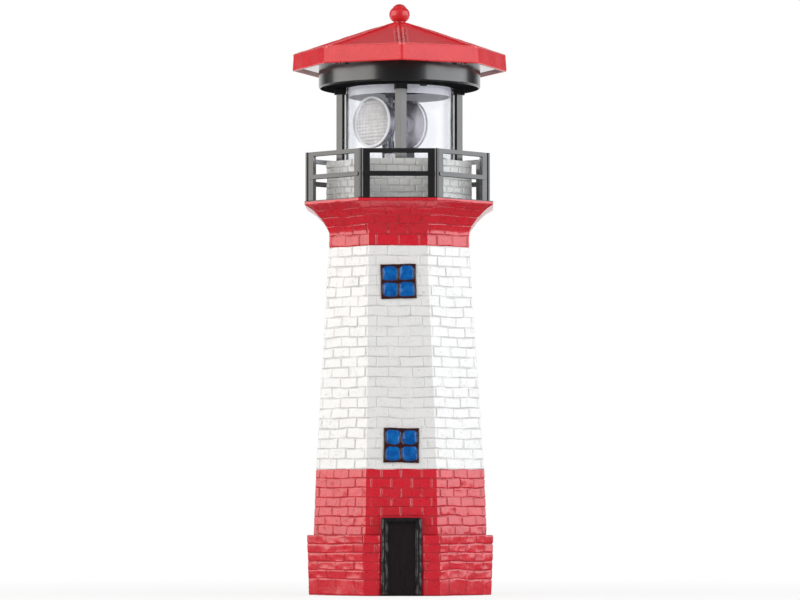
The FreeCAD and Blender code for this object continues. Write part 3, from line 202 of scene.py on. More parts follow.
def twisted(points):
    """The casting turns a little about its axis on its way up."""
    turn = TWIST * smooth(BAND_TOP, SHAFT_TOP, points[..., 2])
    x, y, z = points[..., 0], points[..., 1], points[..., 2]
    cos, sin = np.cos(turn), np.sin(turn)
    return np.stack([x * cos - y * sin, x * sin + y * cos, z], axis=-1)


def make_mesh(name, *grids):
    """A smooth mesh object from grids in millimetres, with a number per point for each field."""
    vertices, faces, fields = joined(grids)
    mesh = bpy.data.meshes.new(name)
    mesh.from_pydata((vertices * MM).tolist(), [], faces.tolist())
    mesh.validate()
    for label, values in fields.items():
        mesh.attributes.new(label, "FLOAT", "POINT").data.foreach_set("value", values.astype(np.float32))
    mesh.polygons.foreach_set("use_smooth", np.ones(len(mesh.polygons), bool))
    made = bpy.data.objects.new(name, mesh)
    bpy.context.scene.collection.objects.link(made)
    return made


def grid_faces(rows, columns, closed, start):
    """Quads of a grid whose rows run upwards, closed into a ring or open."""
    last = columns if closed else columns - 1
    row, column = np.meshgrid(np.arange(rows - 1), np.arange(last), indexing="ij")
    after = (column + 1) % columns
    low, high = row * columns, (row + 1) * columns
    corners = [low + column, low + after, high + after, high + column]
    return start + np.stack(corners, axis=-1).reshape(-1, 4)


def joined(grids):
    """Vertices, faces and fields of several grids as one. Each has points, closed or not, and fields."""
    vertices, faces, fields, start = [], [], {}, 0
    for points, closed, values in grids:
        rows, columns = points.shape[:2]
        vertices.append(points.reshape(-1, 3))
        faces.append(grid_faces(rows, columns, closed, start))
        start += rows * columns
        for label, value in values.items():
            fields.setdefault(label, []).append(value.reshape(-1))
    fields = {label: np.concatenate(values) for label, values in fields.items()}
    return np.concatenate(vertices), np.concatenate(faces), fields


def dress(made, material, body, slot, *nodes):
    """Give a piece its material and its body, and hide the CAD nodes it stands for."""
    made.data.materials.append(material)
    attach(made, body)
    if nodes:
        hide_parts(*nodes)


# Masonry.
def arc_points(start, end, radius, count):
    """Points of a hollow arc between two points of a profile."""
    start, end = np.array(start), np.array(end)
    chord = end - start
    length = np.linalg.norm(chord)
    side = np.array([chord[1], -chord[0]]) / length
    centre = (start + end) / 2 + side * math.sqrt(radius**2 - length**2 / 4)
    first = math.atan2(*(start - centre)[::-1]) % (2 * math.pi)
    last = math.atan2(*(end - centre)[::-1]) % (2 * math.pi)
    angles = np.linspace(first, last, count)
    return [tuple(centre + radius * np.array([math.cos(t), math.sin(t)])) for t in angles]


def spaced_rows(joints, crisp, length):
    """Places of the grid's rows: close at each joint and edge, wide on the bricks."""
    rows = [0.0, length]
    for low, high in zip(joints, joints[1:]):
        rows += [low + away for away in JOINT_ROWS]
        rows += [high - away for away in JOINT_ROWS]
        rows += list(np.linspace(low + BRICK_MARGIN, high - BRICK_MARGIN, 4))
    for edge in crisp:
        rows += [edge + away for away in EDGE_ROWS]
    rows = np.unique(np.round(np.clip(rows, 0, length), 3))
    return rows[np.append(True, np.diff(rows) > ROW_GAP)]


def brick_columns(bricks):
    """Places round a ring in half bricks: close at each upright joint and at the octagon's corners."""
    halves = 2 * bricks
    corners = (np.arange(SIDES) + 0.5) * halves / SIDES
    places = (np.arange(halves)[:, None] + BRICK_PLACES).ravel()
    places = np.concatenate([places, corners - CORNER_GAP, corners, corners + CORNER_GAP])
    return np.unique(np.round(places, 4)) - bricks


def groove(distance, half_width, depth):
    """Depth of a joint at a distance from its middle."""
    return (1 - smooth(JOINT_FLOOR, JOINT_LIP, distance / half_width)) * depth


def masonry(profile, joints, bricks, seed, plain_from=None, frames=(), doorway=None, edges=slice(1, -1)):
    """A ring of brickwork on an octagonal profile of (reach, height), as one grid.

    Joints and plain_from are places along the profile, and edges the points of it that stay
    crisp. The joints stop at the frames, and a doorway of half width and height is sunk.
    """
    profile = np.array(profile)
    along = np.append(0, np.cumsum(np.linalg.norm(np.diff(profile, axis=0), axis=1)))
    place = spaced_rows(joints, along[edges], along[-1])[:, None]
    step = brick_columns(bricks)[None, :]
    halves = 2 * bricks
    reach = np.interp(place, along, profile[:, 0])
    turns = step * SIDES / halves
    face = np.round(turns)
    across = (turns - face) * 2
    half_brick = 2 * reach * HALF_TAN * SIDES / halves

    course = np.searchsorted(joints, place + 1e-6) - 1
    parity = course % 2
    upright = np.abs((step - parity + 1) % 2 - 1) * half_brick
    level = np.min(np.abs(place[..., None] - np.array(joints)), axis=-1)
    own = scatter(np.floor((step - parity) / 2), course, seed)

    flat_across, flat_height = across * reach * HALF_TAN, np.interp(place, along, profile[:, 1])
    spot = around(face, reach, flat_across, flat_height)
    half_width = JOINT_HALF * (1 + JOINT_UNEVEN * waves(spot, 17, seed + 1))
    deep = smooth(-1.1, 0.2, waves(spot, 23, seed + 2)) * 0.5 + 0.5
    level_deep = 0.45 + 0.55 * smooth(-0.9, 0.5, waves(spot, 15, seed + 3))
    joint = np.maximum(groove(upright, half_width, deep), groove(level, half_width, level_deep))
    proud = (own - 0.5) * BRICK_STEP + BRICK_SWELL * waves(spot, 16, seed + 4)
    proud = proud + BRICK_GRAIN * waves(spot, 4.2, seed + 5)
    if plain_from is not None:
        bricked = 1 - smooth(plain_from - 0.1, plain_from + 0.1, place)
        joint, proud = joint * bricked, proud * (PLAIN_RELIEF + (1 - PLAIN_RELIEF) * bricked)
    for centre, half_wide, half_high in frames:
        rise = np.abs(spot[..., 2] - centre) - half_high
        run = np.where(face == 0, np.abs(flat_across) - half_wide, 9)
        kept = smooth(0.2, FRAME_HALO, np.maximum(rise, run))
        joint, proud = joint * kept, proud * (FRAME_RELIEF + (1 - FRAME_RELIEF) * kept)

    sway = waves(spot, 19, seed + 6) * BRICK_SWAY * (1 - across**4)
    lift = waves(spot, 26, seed + 7) * BRICK_LIFT + waves(spot, 8, seed + 8) * 0.08
    lift = lift * smooth(0, 3, place) * smooth(0, 3, along[-1] - place)
    shifted = np.clip(place + lift, 0, along[-1])
    height = np.interp(shifted, along, profile[:, 1])
    reach = np.interp(shifted, along, profile[:, 0])
    reach = reach + np.minimum(proud, BRICK_HIGHEST) - joint * JOINT_DEPTH
    if doorway is not None:
        side = doorway[0] - np.abs(across * reach * HALF_TAN)
        sunk = np.where(face == 0, smooth(0.4, 1.2, np.minimum(side, doorway[1] - height)), 0)
        reach = reach + (np.minimum(reach, DOOR_BACK + 1) - reach) * sunk
    points = twisted(around(face, reach, across * reach * HALF_TAN + sway, height))
    every = np.ones_like(points[..., 0])
    return points, True, {"joint": joint * every, "brick": own * every}


def courses(start, end, count):
    """Places of the joints of a number of equal courses."""
    return list(np.linspace(start, end, count + 1))


def make_masonry():
    """The casting: plinth, red band, shaft with cove and cornice, and the drum."""
    doorway = (DOOR_WIDTH / 2, DOOR_HEIGHT)
    door = {"frames": [(0, *doorway)], "doorway": doorway}
    plinth = [
        (PLINTH_FOOT_REACH - PLINTH_UNDERSIDE, PLINTH_FOOT),
        (PLINTH_FOOT_REACH, PLINTH_FOOT),
        (PLINTH_REACH, PLINTH_TOP),
        (BAND_FOOT_REACH - RING_RETURN, PLINTH_TOP),
    ]
    face_length = math.hypot(PLINTH_REACH - PLINTH_FOOT_REACH, PLINTH_TOP - PLINTH_FOOT)
    plinth_end = PLINTH_UNDERSIDE + face_length
    tall_end = PLINTH_UNDERSIDE + TALL_COURSE
    plinth_joints = [PLINTH_UNDERSIDE, tall_end]
    plinth_joints += courses(tall_end + SHORT_COURSE, plinth_end, 4)

    band = [
        (BAND_FOOT_REACH, PLINTH_TOP - BAND_LAP),
        (SHAFT_FOOT_REACH, BAND_TOP),
        (SHAFT_FOOT_REACH - RING_RETURN, BAND_TOP + 0.1),
    ]
    band_joints = courses(BAND_LAP, BAND_TOP - PLINTH_TOP + BAND_LAP, 7)

    shaft_foot, shaft_top = (SHAFT_FOOT_REACH, BAND_TOP - SHAFT_LAP), (SHAFT_TOP_REACH, SHAFT_TOP)
    cove = arc_points((SHAFT_TOP_REACH, COVE_FOOT), (CORNICE_REACH, CORNICE_FOOT), COVE_RADIUS, 16)
    cornice = [(CORNICE_REACH, DECK), (DRUM_REACH - RING_RETURN, DECK)]
    shaft = [shaft_foot, shaft_top] + cove + cornice
    edges = [shaft.index(point) for point in (shaft_top, cove[-1], cornice[0])]
    shaft_length = math.hypot(SHAFT_FOOT_REACH - SHAFT_TOP_REACH, SHAFT_TOP - BAND_TOP)
    shaft_end = SHAFT_LAP + shaft_length
    crown_end = shaft_end + 2 * CROWN_COURSE
    cove_end = shaft_end + np.linalg.norm(np.diff(np.array([shaft_top] + cove), axis=0), axis=1).sum()
    shaft_joints = courses(SHAFT_LAP, shaft_end, 22) + [crown_end - CROWN_COURSE]
    shaft_joints += courses(crown_end, cove_end, 3)
    windows = [(level, WINDOW_WIDTH / 2, WINDOW_HEIGHT / 2) for level in (LOWER_WINDOW, UPPER_WINDOW)]

    drum = [(DRUM_REACH, DECK - SHAFT_LAP), (DRUM_REACH, DRUM_TOP), (CAGE_REACH - 3, DRUM_TOP)]
    drum_end = DRUM_TOP - DECK + SHAFT_LAP
    drum_joints = courses(SHAFT_LAP, drum_end, 6)
    return make_mesh(
        "tower_masonry",
        masonry(plinth, plinth_joints, bricks=24, seed=3, plain_from=plinth_end, **door),
        masonry(band, band_joints, bricks=28, seed=14, **door),
        masonry(shaft, shaft_joints, bricks=22, seed=25, plain_from=cove_end, frames=windows, edges=edges),
        masonry(drum, drum_joints, bricks=40, seed=36, plain_from=drum_end),
    )


def on_front(across, height, offset):
    """Points in front of the front flat of the shaft."""
    reach = np.interp(height, [BAND_TOP, SHAFT_TOP], [SHAFT_FOOT_REACH, SHAFT_TOP_REACH])
    return twisted(around(0, reach + offset, across, height))


def make_window(name, centre, lean, seed):
    """A moulded window: four pillowed panes in a painted frame, a little crooked."""
    sweep = np.linspace(-1, 1, WINDOW_GRID)
    x, z = np.meshgrid(sweep, sweep)
    across, rise = x * WINDOW_WIDTH / 2, z * WINDOW_HEIGHT / 2
    spot = np.stack([across, rise, np.full_like(x, centre)], axis=-1)
    bent_x = across + WINDOW_BEND * waves(spot, 9, seed)
    bent_z = rise + WINDOW_BEND * waves(spot, 9, seed + 1)
    pane_x = (WINDOW_WIDTH / 2 - WINDOW_FRAME - WINDOW_MUNTIN / 2) / 2
    pane_z = (WINDOW_HEIGHT / 2 - WINDOW_FRAME - WINDOW_MUNTIN / 2) / 2
    local_x = (np.abs(bent_x) - WINDOW_MUNTIN / 2 - pane_x) / pane_x
    local_z = (np.abs(bent_z) - WINDOW_MUNTIN / 2 - pane_z) / pane_z
    square = (np.abs(local_x) ** 4 + np.abs(local_z) ** 4) ** 0.25
    pane = 1 - smooth(0.94, 1.04, square)
    pillow = PANE_PILLOW * (1 - np.clip(square, 0, 1) ** 4) + 0.08 * waves(spot, 4.5, seed + 2)
    bar = BAR_HEIGHT * smooth(0.98, 1.1, square) + 0.06 * waves(spot, 2.2, seed + 3)
    edge = 1 - np.maximum(np.abs(x), np.abs(z))
    offset = WINDOW_PROUD - 0.35 + pillow * pane + bar - 0.5 * (1 - smooth(0, 0.06, edge))
    offset = np.where(edge < 1e-6, -WINDOW_SUNK, offset)
    turn_x = across * math.cos(lean) - rise * math.sin(lean) + 0.12 * waves(spot, 12, seed + 4)
    turn_z = across * math.sin(lean) + rise * math.cos(lean) + 0.12 * waves(spot, 12, seed + 5)
    points = on_front(turn_x, turn_z + centre, offset)
    return make_mesh(name, (points, False, {"pane": pane}))


def make_door():
    """The door: a rounded jamb and lintel round a recessed panel, on a block that runs to the wall."""
    wide, high = DOOR_WIDTH / 2, DOOR_HEIGHT
    jamb = np.linspace(wide - DOOR_FRAME, wide, 22)
    middle = np.linspace(DOOR_FRAME - wide, wide - DOOR_FRAME, 26)
    columns = np.unique(np.concatenate([-jamb, middle, jamb]))
    leaf = np.linspace(DOOR_FOOT, high - DOOR_FRAME, 70)
    rows = np.unique(np.concatenate([leaf, np.linspace(high - DOOR_FRAME, high, 22)]))
    x, z = np.meshgrid(columns, rows)
    spot = np.stack([x, z, np.zeros_like(x)], axis=-1)
    inset = np.minimum(wide - np.abs(x), (high - z) * 1.25)
    inset = inset + 0.22 * waves(spot, 11, 51) + 0.08 * waves(spot, 3.5, 52)
    ridge = np.sin(math.pi * np.clip((inset - RIDGE_INSET) / RIDGE_WIDTH, 0, 1)) ** 0.7
    panel = smooth(DOOR_JAMB - 0.6, DOOR_JAMB + 0.1, inset)
    surface = 0.05 * waves(spot * [1, 0.25, 1], 2.4, 53) + 0.05 * waves(spot, 7, 54)
    offset = RIDGE_HEIGHT * ridge * (1 - panel) - DOOR_RECESS * panel + surface
    offset = offset - 0.35 * (1 - smooth(0, 0.5, inset))
    wavering = 0.16 * waves(spot, 8, 55) * np.sign(x) * smooth(wide - 3, wide, np.abs(x))
    points = np.stack([x + wavering, -(DOOR_FACE + offset), z], axis=-1)
    border = np.ones_like(x, bool)
    border[1:-1, 1:-1] = False
    points[border, 1] = -DOOR_BACK
    return make_mesh("door", (points, False, {"panel": panel}))


# Roof, in millimetres. The places are distances from a hip and from the eave. The fascia's
# turned-in edge is given by its distances inwards and upwards from the fascia's foot.
HIP_PLACES = np.array(
    [0, 0.25, 0.55, 0.75, 0.95, 1.3, 1.65, 1.85, 2.05, 2.3, 3.0, 3.9, 4.3, 4.7, 5.2, 6.5]
)
EAVE_PLACES = [0.15, 0.4, 0.7, 1.0, 1.3, 1.7, 2.0, 2.3, 3.2, 3.8, 4.2, 4.7, 5.4]
FASCIA_EDGE = [(2.2, 2.2), (2.0, 0.1), (0.5, 0.05), (0.1, 0.35)]
ROOF_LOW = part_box("roof")[0].z / MM
FASCIA_FOOT_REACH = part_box("roof")[1].x / MM * math.cos(SECTOR / 2) - 0.05
FASCIA_TOP_REACH = FASCIA_FOOT_REACH - 0.6
FASCIA_TOP = ROOF_LOW + 9.6
NECK = 348.6
NECK_REACH = 3.4
BEAD_PLACE = 1.3
BEAD_RADIUS = 0.72
BEAD_HEIGHT = 0.8
LIP_PLACE = 1.0
LIP_RADIUS = 0.95
LIP_HEIGHT = 0.75
PANEL_DEPTH = 0.85


def bead(distance, place, radius, height):
    """A half-round moulding that runs at a distance from an edge."""
    return height * np.sqrt(np.clip(1 - ((distance - place) / radius) ** 2, 0, 1))


def make_roof():
    """The roof: facets with recessed panels, a pair of beads on each hip and a lip round the eave."""
    run, rise = FASCIA_TOP_REACH - NECK_REACH, NECK - FASCIA_TOP
    length = math.hypot(run, rise)
    slope = np.append(EAVE_PLACES, np.linspace(6.5, length, 60))
    reaches = [FASCIA_FOOT_REACH - inwards for inwards, _ in FASCIA_EDGE]
    heights = [ROOF_LOW + upwards for _, upwards in FASCIA_EDGE]
    for share in np.linspace(0.08, 1, 12):
        reaches.append(FASCIA_FOOT_REACH + (FASCIA_TOP_REACH - FASCIA_FOOT_REACH) * share)
        heights.append(ROOF_LOW + (FASCIA_TOP - ROOF_LOW) * share)
    wall = len(reaches)
    reach = np.append(reaches, FASCIA_TOP_REACH - slope / length * run)[:, None]
    height = np.append(heights, FASCIA_TOP + slope / length * rise)[:, None]
    climbed = np.append(np.zeros(wall), slope)[:, None]
    sloped = (np.arange(len(reach)) >= wall - 1)[:, None]

    half = reach * HALF_TAN
    shrink = np.minimum(1, half / (HIP_PLACES[-1] + 1.5))
    from_hip = HIP_PLACES[None, :] * shrink
    middle = np.linspace(0, 1, 12)[None, 1:-1]
    inner = from_hip[:, -1:] + (2 * half - 2 * from_hip[:, -1:]) * middle
    along = np.concatenate([from_hip, inner, 2 * half - from_hip[:, :0:-1]], axis=1)
    flats = [around(k + 0.5, reach, along - half, height) for k in range(SIDES)]
    spot = np.concatenate(flats, axis=1)
    hip = np.tile(np.minimum(along, 2 * half - along), SIDES)

    worn = 1 + 0.12 * waves(spot, 9, 61)
    beads = bead(hip, BEAD_PLACE * shrink, BEAD_RADIUS * shrink, BEAD_HEIGHT * worn * shrink)
    raised = np.maximum(beads, bead(climbed, LIP_PLACE, LIP_RADIUS, LIP_HEIGHT))
    border = np.minimum(hip / np.maximum(shrink, 0.2), np.where(climbed > 0, climbed * 1.1, 0))
    panel = smooth(3.7, 4.6, border) * smooth(2.0, 5.0, length - climbed)
    top = np.where(climbed > 0, raised, 0) - PANEL_DEPTH * panel + 0.05 * waves(spot, 14, 62)
    z = height + np.where(sloped, top, 0)
    pushed = 0.06 * waves(spot, 22, 63) - 0.12 * (1 - smooth(0, 0.9, hip))
    scale = 1 + np.where(sloped, 0, pushed - 0.06) / reach
    points = np.stack([spot[..., 0] * scale, spot[..., 1] * scale, z], axis=-1)
    fields = {"panel": panel, "bead": np.where(sloped, raised, 0.0)}
    return make_mesh("roof_shell", (points, True, fields))


# Beacon.
def on_head(side, out, across, rise):
    """Points of a lamp head, at a distance out from the spindle and across and up from its middle."""
    out = side * out * np.ones_like(across)
    east, north = SPINDLE_X - (out + across) * DIAGONAL, (across - out) * DIAGONAL
    return np.stack([east, north, HUB_LEVEL + rise], axis=-1)


def make_lens(name, side):
    """A head's lens: rows of small pillows on a crowned face, and a flat back."""
    rings = np.linspace(0, 1, LENS_RINGS)[:, None]
    angle = np.linspace(0, 2 * math.pi, LENS_SPOKES, endpoint=False)[None, :]
    across, rise = LENS_RADIUS * rings * np.cos(angle), LENS_RADIUS * rings * np.sin(angle)
    row, place = rise / PEBBLE, across / PEBBLE * PEBBLE_STRETCH
    off = (row - np.round(row)) ** 2 + (place - np.round(place)) ** 2
    pillow = PEBBLE_HEIGHT * (1 - np.clip(off / 0.25, 0, 1.4) ** 0.8) * smooth(0, 0.05, 1 - rings)
    out = LENS_FRONT + LENS_CROWN * (1 - rings**2) - PEBBLE_HEIGHT + pillow
    out = np.concatenate([out, np.full_like(out[:2], LENS_BACK)])
    across = np.concatenate([across, across[[-1]], 0 * across[[-1]]])
    rise = np.concatenate([rise, rise[[-1]], 0 * rise[[-1]]])
    return make_mesh(name, (on_head(side, out, across, rise), True, {}))


def make_sleeve(name, side):
    """The white cup round a lamp, from the hub to the back of the lens."""
    start, end, radius = CUP_START, CUP_END, CUP_RADIUS
    outline = [(radius, start), (radius, end), (radius - 0.4, end + 0.1), (radius - 0.9, end - 0.1)]
    outline += [(radius - 1.6, CUP_THROAT), (LAMP_ROOM, CUP_FLOOR), (LAMP_ROOM, start), (radius, start)]
    radius, out = np.array(outline).T[:, :, None]
    angle = np.linspace(0, 2 * math.pi, 72, endpoint=False)[None, :]
    points = on_head(side, out, radius * np.cos(angle), radius * np.sin(angle))
    return make_mesh(name, (points, True, {}))


# Materials.
class Tree:
    """A node tree, built a node at a time. An input takes a socket or a plain value."""

    def __init__(self, tree):
        self.tree = tree

    def add(self, kind, links=None, **settings):
        """A node of a kind with its inputs and settings."""
        node = self.tree.nodes.new(kind)
        for label, setting in settings.items():
            setattr(node, label, setting)
        for label, source in (links or {}).items():
            self.feed(node.inputs[label], source)
        return node

    def feed(self, entry, source):
        """Gives an input its socket or its value."""
        if hasattr(source, "is_output"):
            self.tree.links.new(source, entry)
        else:
            entry.default_value = source

    def math(self, operation, a, b=0.0, clamp=False):
        """A sum, product or the like of two numbers."""
        node = self.add("ShaderNodeMath", operation=operation, use_clamp=clamp)
        self.feed(node.inputs[0], a)
        self.feed(node.inputs[1], b)
        return node.outputs[0]

    def times(self, a, b):
        """The product of two numbers."""
        return self.math("MULTIPLY", a, b)

    def rest(self, share):
        """What is left of 1."""
        return self.math("SUBTRACT", 1.0, share)

    def rise(self, source, low, high, start=0.0, end=1.0, curve="SMOOTHSTEP"):
        """From start to end while the source goes from low to high."""
        links = {"Value": source, "From Min": low, "From Max": high, "To Min": start, "To Max": end}
        return self.add("ShaderNodeMapRange", links, interpolation_type=curve).outputs[0]

    def apart(self, vector):
        """The three parts of a vector."""
        return self.add("ShaderNodeSeparateXYZ", {"Vector": vector}).outputs

    def choose(self, switch, off, on):
        """One number or the other."""
        node = self.add("ShaderNodeMix")
        for place, source in ((0, switch), (2, off), (3, on)):
            self.feed(node.inputs[place], source)
        return node.outputs[0]


class Nodes(Tree):
    """A material's nodes round its main shader. Sizes and distances are in metres."""

    def __init__(self, name):
        self.material = bpy.data.materials.new(name)
        self.material.use_nodes = True
        super().__init__(self.material.node_tree)
        self.shader = self.tree.nodes["Principled BSDF"]
        self.place = self.add("ShaderNodeTexCoord").outputs["Object"]

    def set(self, **values):
        """Inputs of the main shader."""
        for label, source in values.items():
            self.feed(self.shader.inputs[label.replace("_", " ")], source)

    def noise(self, size, detail=3.0, roughness=0.55, stretch=(1, 1, 1)):
        """Uneven field whose swells are about size long."""
        moved = self.add("ShaderNodeMapping", {"Vector": self.place, "Scale": stretch})
        links = {"Vector": moved.outputs[0], "Scale": 1 / size, "Detail": detail, "Roughness": roughness}
        return self.add("ShaderNodeTexNoise", links).outputs["Fac"]

    def patchy(self, field, start=0.0, end=1.0):
        """Spreads an uneven field from start to end."""
        return self.rise(field, 0.3, 0.7, start, end)

    def mix(self, share, a, b):
        """One colour or the other, or a share of both."""
        node = self.add("ShaderNodeMix", data_type="RGBA")
        for place, source in ((0, share), (6, a), (7, b)):
            self.feed(node.inputs[place], source)
        return node.outputs[2]

    def field(self, label):
        """A number that the mesh carries per point."""
        return self.add("ShaderNodeAttribute", attribute_name=label).outputs["Fac"]

    def bump(self, height, distance, normal=None):
        """A normal that makes fine relief of a field."""
        links = {"Height": height, "Distance": distance, "Strength": 1.0}
        if normal is not None:
            links["Normal"] = normal
        return self.add("ShaderNodeBump", links).outputs[0]

    def soft_edges(self, radius):
        """A normal that rounds edges."""
        return self.add("ShaderNodeBevel", {"Radius": radius}, samples=6).outputs[0]

    def mix_with(self, share, other):
        """Shows another shader in place of the main one where share is 1."""
        both = self.add("ShaderNodeMixShader", {"Fac": share})
        self.tree.links.new(self.shader.outputs[0], both.inputs[1])
        self.tree.links.new(other.outputs[0], both.inputs[2])
        self.tree.links.new(both.outputs[0], self.tree.nodes["Material Output"].inputs["Surface"])


def colour(red, green, blue):
    """An sRGB colour of 0 to 255 as linear light."""
    parts = [c / 255 for c in (red, green, blue)]
    return tuple(c / 12.92 if c <= 0.04045 else ((c + 0.055) / 1.055) ** 2.4 for c in parts) + (1.0,)


def masonry_paint():
    """White and red paint with pits, dusty joints and wavering edges, and a black deck."""
    n = Nodes("masonry_paint")
    height = n.apart(n.place)[2]
    wander = n.times(n.math("SUBTRACT", n.noise(0.012, 2.0), 0.5), 0.0016)
    level = n.math("ADD", height, wander)
    low = n.rise(level, BAND_TOP * MM - 0.0001, BAND_TOP * MM + 0.0001, 1.0, 0.0)
    high = n.rise(level, SHAFT_TOP * MM - 0.0001, SHAFT_TOP * MM + 0.0001)
    drum = n.rise(height, (DECK - 0.15) * MM, (DECK + 0.05) * MM)
    red_share = n.math("SUBTRACT", n.math("ADD", low, high), drum, clamp=True)
    joint, tone = n.field("joint"), n.field("brick")
    cells = n.add("ShaderNodeTexVoronoi", {"Vector": n.place, "Scale": 1 / 0.0014, "Randomness": 1.0})
    sparse = n.rise(n.noise(0.008, 1.0), 0.47, 0.6)
    spot = n.times(n.rise(cells.outputs["Distance"], 0.1, 0.24, 1.0, 0.0), sparse)
    white = n.mix(n.times(tone, 0.5), colour(235, 235, 234), colour(228, 228, 228))
    white = n.mix(n.times(joint, 0.4), white, colour(172, 169, 164))
    white = n.mix(n.times(spot, 0.35), white, colour(160, 158, 156))
    red = n.mix(n.times(tone, 0.6), colour(218, 18, 42), colour(206, 16, 38))
    red = n.mix(n.times(joint, 0.4), red, colour(150, 14, 30))
    red = n.mix(n.times(spot, 0.6), red, colour(120, 14, 26))
    deck = n.rise(height, (DECK - 0.6) * MM, (DECK - 0.45) * MM)
    above = n.rise(height, (DECK + 0.15) * MM, (DECK + 0.35) * MM)
    deck = n.math("SUBTRACT", deck, above, clamp=True)
    n.set(Base_Color=n.mix(deck, n.mix(red_share, white, red), colour(34, 33, 35)))
    matt = n.patchy(n.noise(0.004), 0.26, 0.36)
    n.set(Roughness=n.math("ADD", matt, n.times(joint, 0.2)), Specular_IOR_Level=0.6)
    n.set(Coat_Weight=1.0, Coat_Roughness=0.16, Coat_IOR=1.7)
    grain = n.math("ADD", n.noise(0.003, 2.0), n.times(n.noise(0.0009), 0.25))
    n.set(Normal=n.bump(n.math("SUBTRACT", grain, n.times(spot, 1.6)), 0.00022))
    return n.material


def window_paint():
    """Glossy blue panes and a dark brown frame."""
    n = Nodes("window_paint")
    uneven = n.rise(n.noise(0.0035), 0.35, 0.7)
    blue = n.mix(uneven, colour(0, 78, 154), colour(8, 104, 182))
    brown = n.mix(n.noise(0.003), colour(70, 34, 30), colour(40, 20, 20))
    n.set(Base_Color=n.mix(n.field("pane"), brown, blue))
    n.set(Roughness=n.patchy(n.noise(0.004), 0.12, 0.24), Coat_Weight=0.6, Coat_Roughness=0.08)
    n.set(Normal=n.bump(n.noise(0.0032, 2.0), 0.00018))
    return n.material


def door_paint():
    """Black enamel, brushed up and down, with a brown-black panel."""
    n = Nodes("door_paint")
    brushed = n.noise(0.0022, 4.0, 0.6, (1, 1, 0.12))
    black = n.mix(brushed, colour(24, 24, 28), colour(34, 33, 36))
    panel = n.mix(brushed, colour(28, 21, 24), colour(36, 29, 32))
    n.set(Base_Color=n.mix(n.field("panel"), black, panel))
    n.set(Roughness=n.patchy(brushed, 0.26, 0.34), Coat_Weight=1.0, Coat_Roughness=0.16)
    n.set(Normal=n.bump(n.math("ADD", brushed, n.noise(0.005, 2.0)), 0.00012))
    return n.material


def plastic(name, first, second, shine, swell=0.006, depth=0.00004, coat=0.0, gloss=0.5, under=0.0):
    """Moulded plastic: a fine grain, faint flow marks and softened edges.

    With under, faces that look down are sharper mirrors at the eave, and have no gloss below it.
    """
    n = Nodes(name)
    flow = n.noise(swell)
    matt = n.patchy(n.noise(swell * 0.6, 4.0), shine - 0.03, shine + 0.03)
    if under:
        normal = n.add("ShaderNodeNewGeometry").outputs["Normal"]
        down = n.rise(n.apart(normal)[2], -0.98, -0.9, 1.0, 0.0)
        eave = n.rise(n.apart(n.place)[2], COLLAR_FOOT + 0.006, COLLAR_FOOT + 0.008)
        shown = n.rest(n.times(down, n.rest(eave)))
        matt = n.times(matt, n.rest(n.times(down, under)))
        gloss, coat = n.times(shown, gloss), n.times(shown, coat)
    n.set(Base_Color=n.mix(n.patchy(flow), first, second), Roughness=matt, Specular_IOR_Level=gloss)
    n.set(Coat_Weight=coat, Coat_Roughness=n.times(matt, 0.6), Coat_IOR=1.75)
    grain = n.math("ADD", n.noise(0.0007, 2.0), n.times(flow, 2.0))
    n.set(Normal=n.bump(grain, depth, n.soft_edges(0.00025)))
    return n.material


def roof_plastic():
    """Glossy red plastic, painted a shade paler in the panels as painted sheen, and palest along the bead
    tops as a painted highlight.
    """
    n = Nodes("roof_plastic")
    panel = n.field("panel")
    red = n.mix(n.patchy(n.noise(0.012)), colour(222, 42, 50), colour(212, 34, 44))
    # Panels painted a shade paler: painted sheen standing in for the facets' reflection.
    red = n.mix(panel, red, colour(232, 68, 74))
    # Bead tops painted pale pink: a painted highlight along the hip beads and the eave lip.
    red = n.mix(n.rise(n.field("bead"), 0.25, 0.75, 0.0, 0.85), red, colour(244, 132, 134))
    n.set(Base_Color=red, Specular_IOR_Level=0.5, Coat_Weight=0.5, Coat_Roughness=0.2)
    matt = n.patchy(n.noise(0.005), 0.24, 0.32)
    n.set(Roughness=n.math("ADD", matt, n.times(panel, 0.2)))
    n.set(Normal=n.bump(n.math("ADD", n.noise(0.0007), n.noise(0.009, 2.0)), 0.00003))
    return n.material


def see_through(name, tint, rough, milky=0.0, depth=0.0002, index=1.49, rim=False):
    """Clear plastic that lets the studio light through, with a milky share, or with a head's rim painted
    milky white as a painted highlight.
    """
    n = Nodes(name)
    if rim:
        east, north, _ = n.apart(n.place)
        east = n.math("SUBTRACT", east, SPINDLE_X * MM)
        out = n.math("ABSOLUTE", n.math("ADD", east, north))
        lip = HEAD_REACH * MM * math.sqrt(2)
        # The rim is painted milky white and made less clear: a painted highlight along the head's lip.
        milkiness_and_rim_highlight = n.rise(out, lip - 0.0014, lip - 0.0007, 0.02, 0.9)
        tint = n.mix(milkiness_and_rim_highlight, tint, colour(250, 250, 247))
    else:
        milkiness_and_rim_highlight = n.patchy(n.noise(0.004), milky * 0.85, milky * 1.1)
    n.set(Base_Color=tint, Transmission_Weight=n.rest(milkiness_and_rim_highlight), IOR=index)
    n.set(Roughness=n.patchy(n.noise(0.01), rough, rough + 0.03))
    n.set(Normal=n.bump(n.noise(0.014, 2.0), depth))
    path = n.add("ShaderNodeLightPath")
    n.mix_with(path.outputs["Is Shadow Ray"], n.add("ShaderNodeBsdfTransparent", {"Color": tint}))
    return n.material


def metal(name, first, second, shine, stretch=(1, 1, 6)):
    """Plated metal with fine drawn lines."""
    n = Nodes(name)
    lines = n.noise(0.0012, 4.0, 0.6, stretch)
    n.set(Base_Color=n.mix(lines, first, second), Metallic=1.0)
    n.set(Roughness=n.patchy(lines, shine - 0.06, shine + 0.08))
    n.set(Normal=n.bump(lines, 0.00003, n.soft_edges(0.0001)))
    return n.material


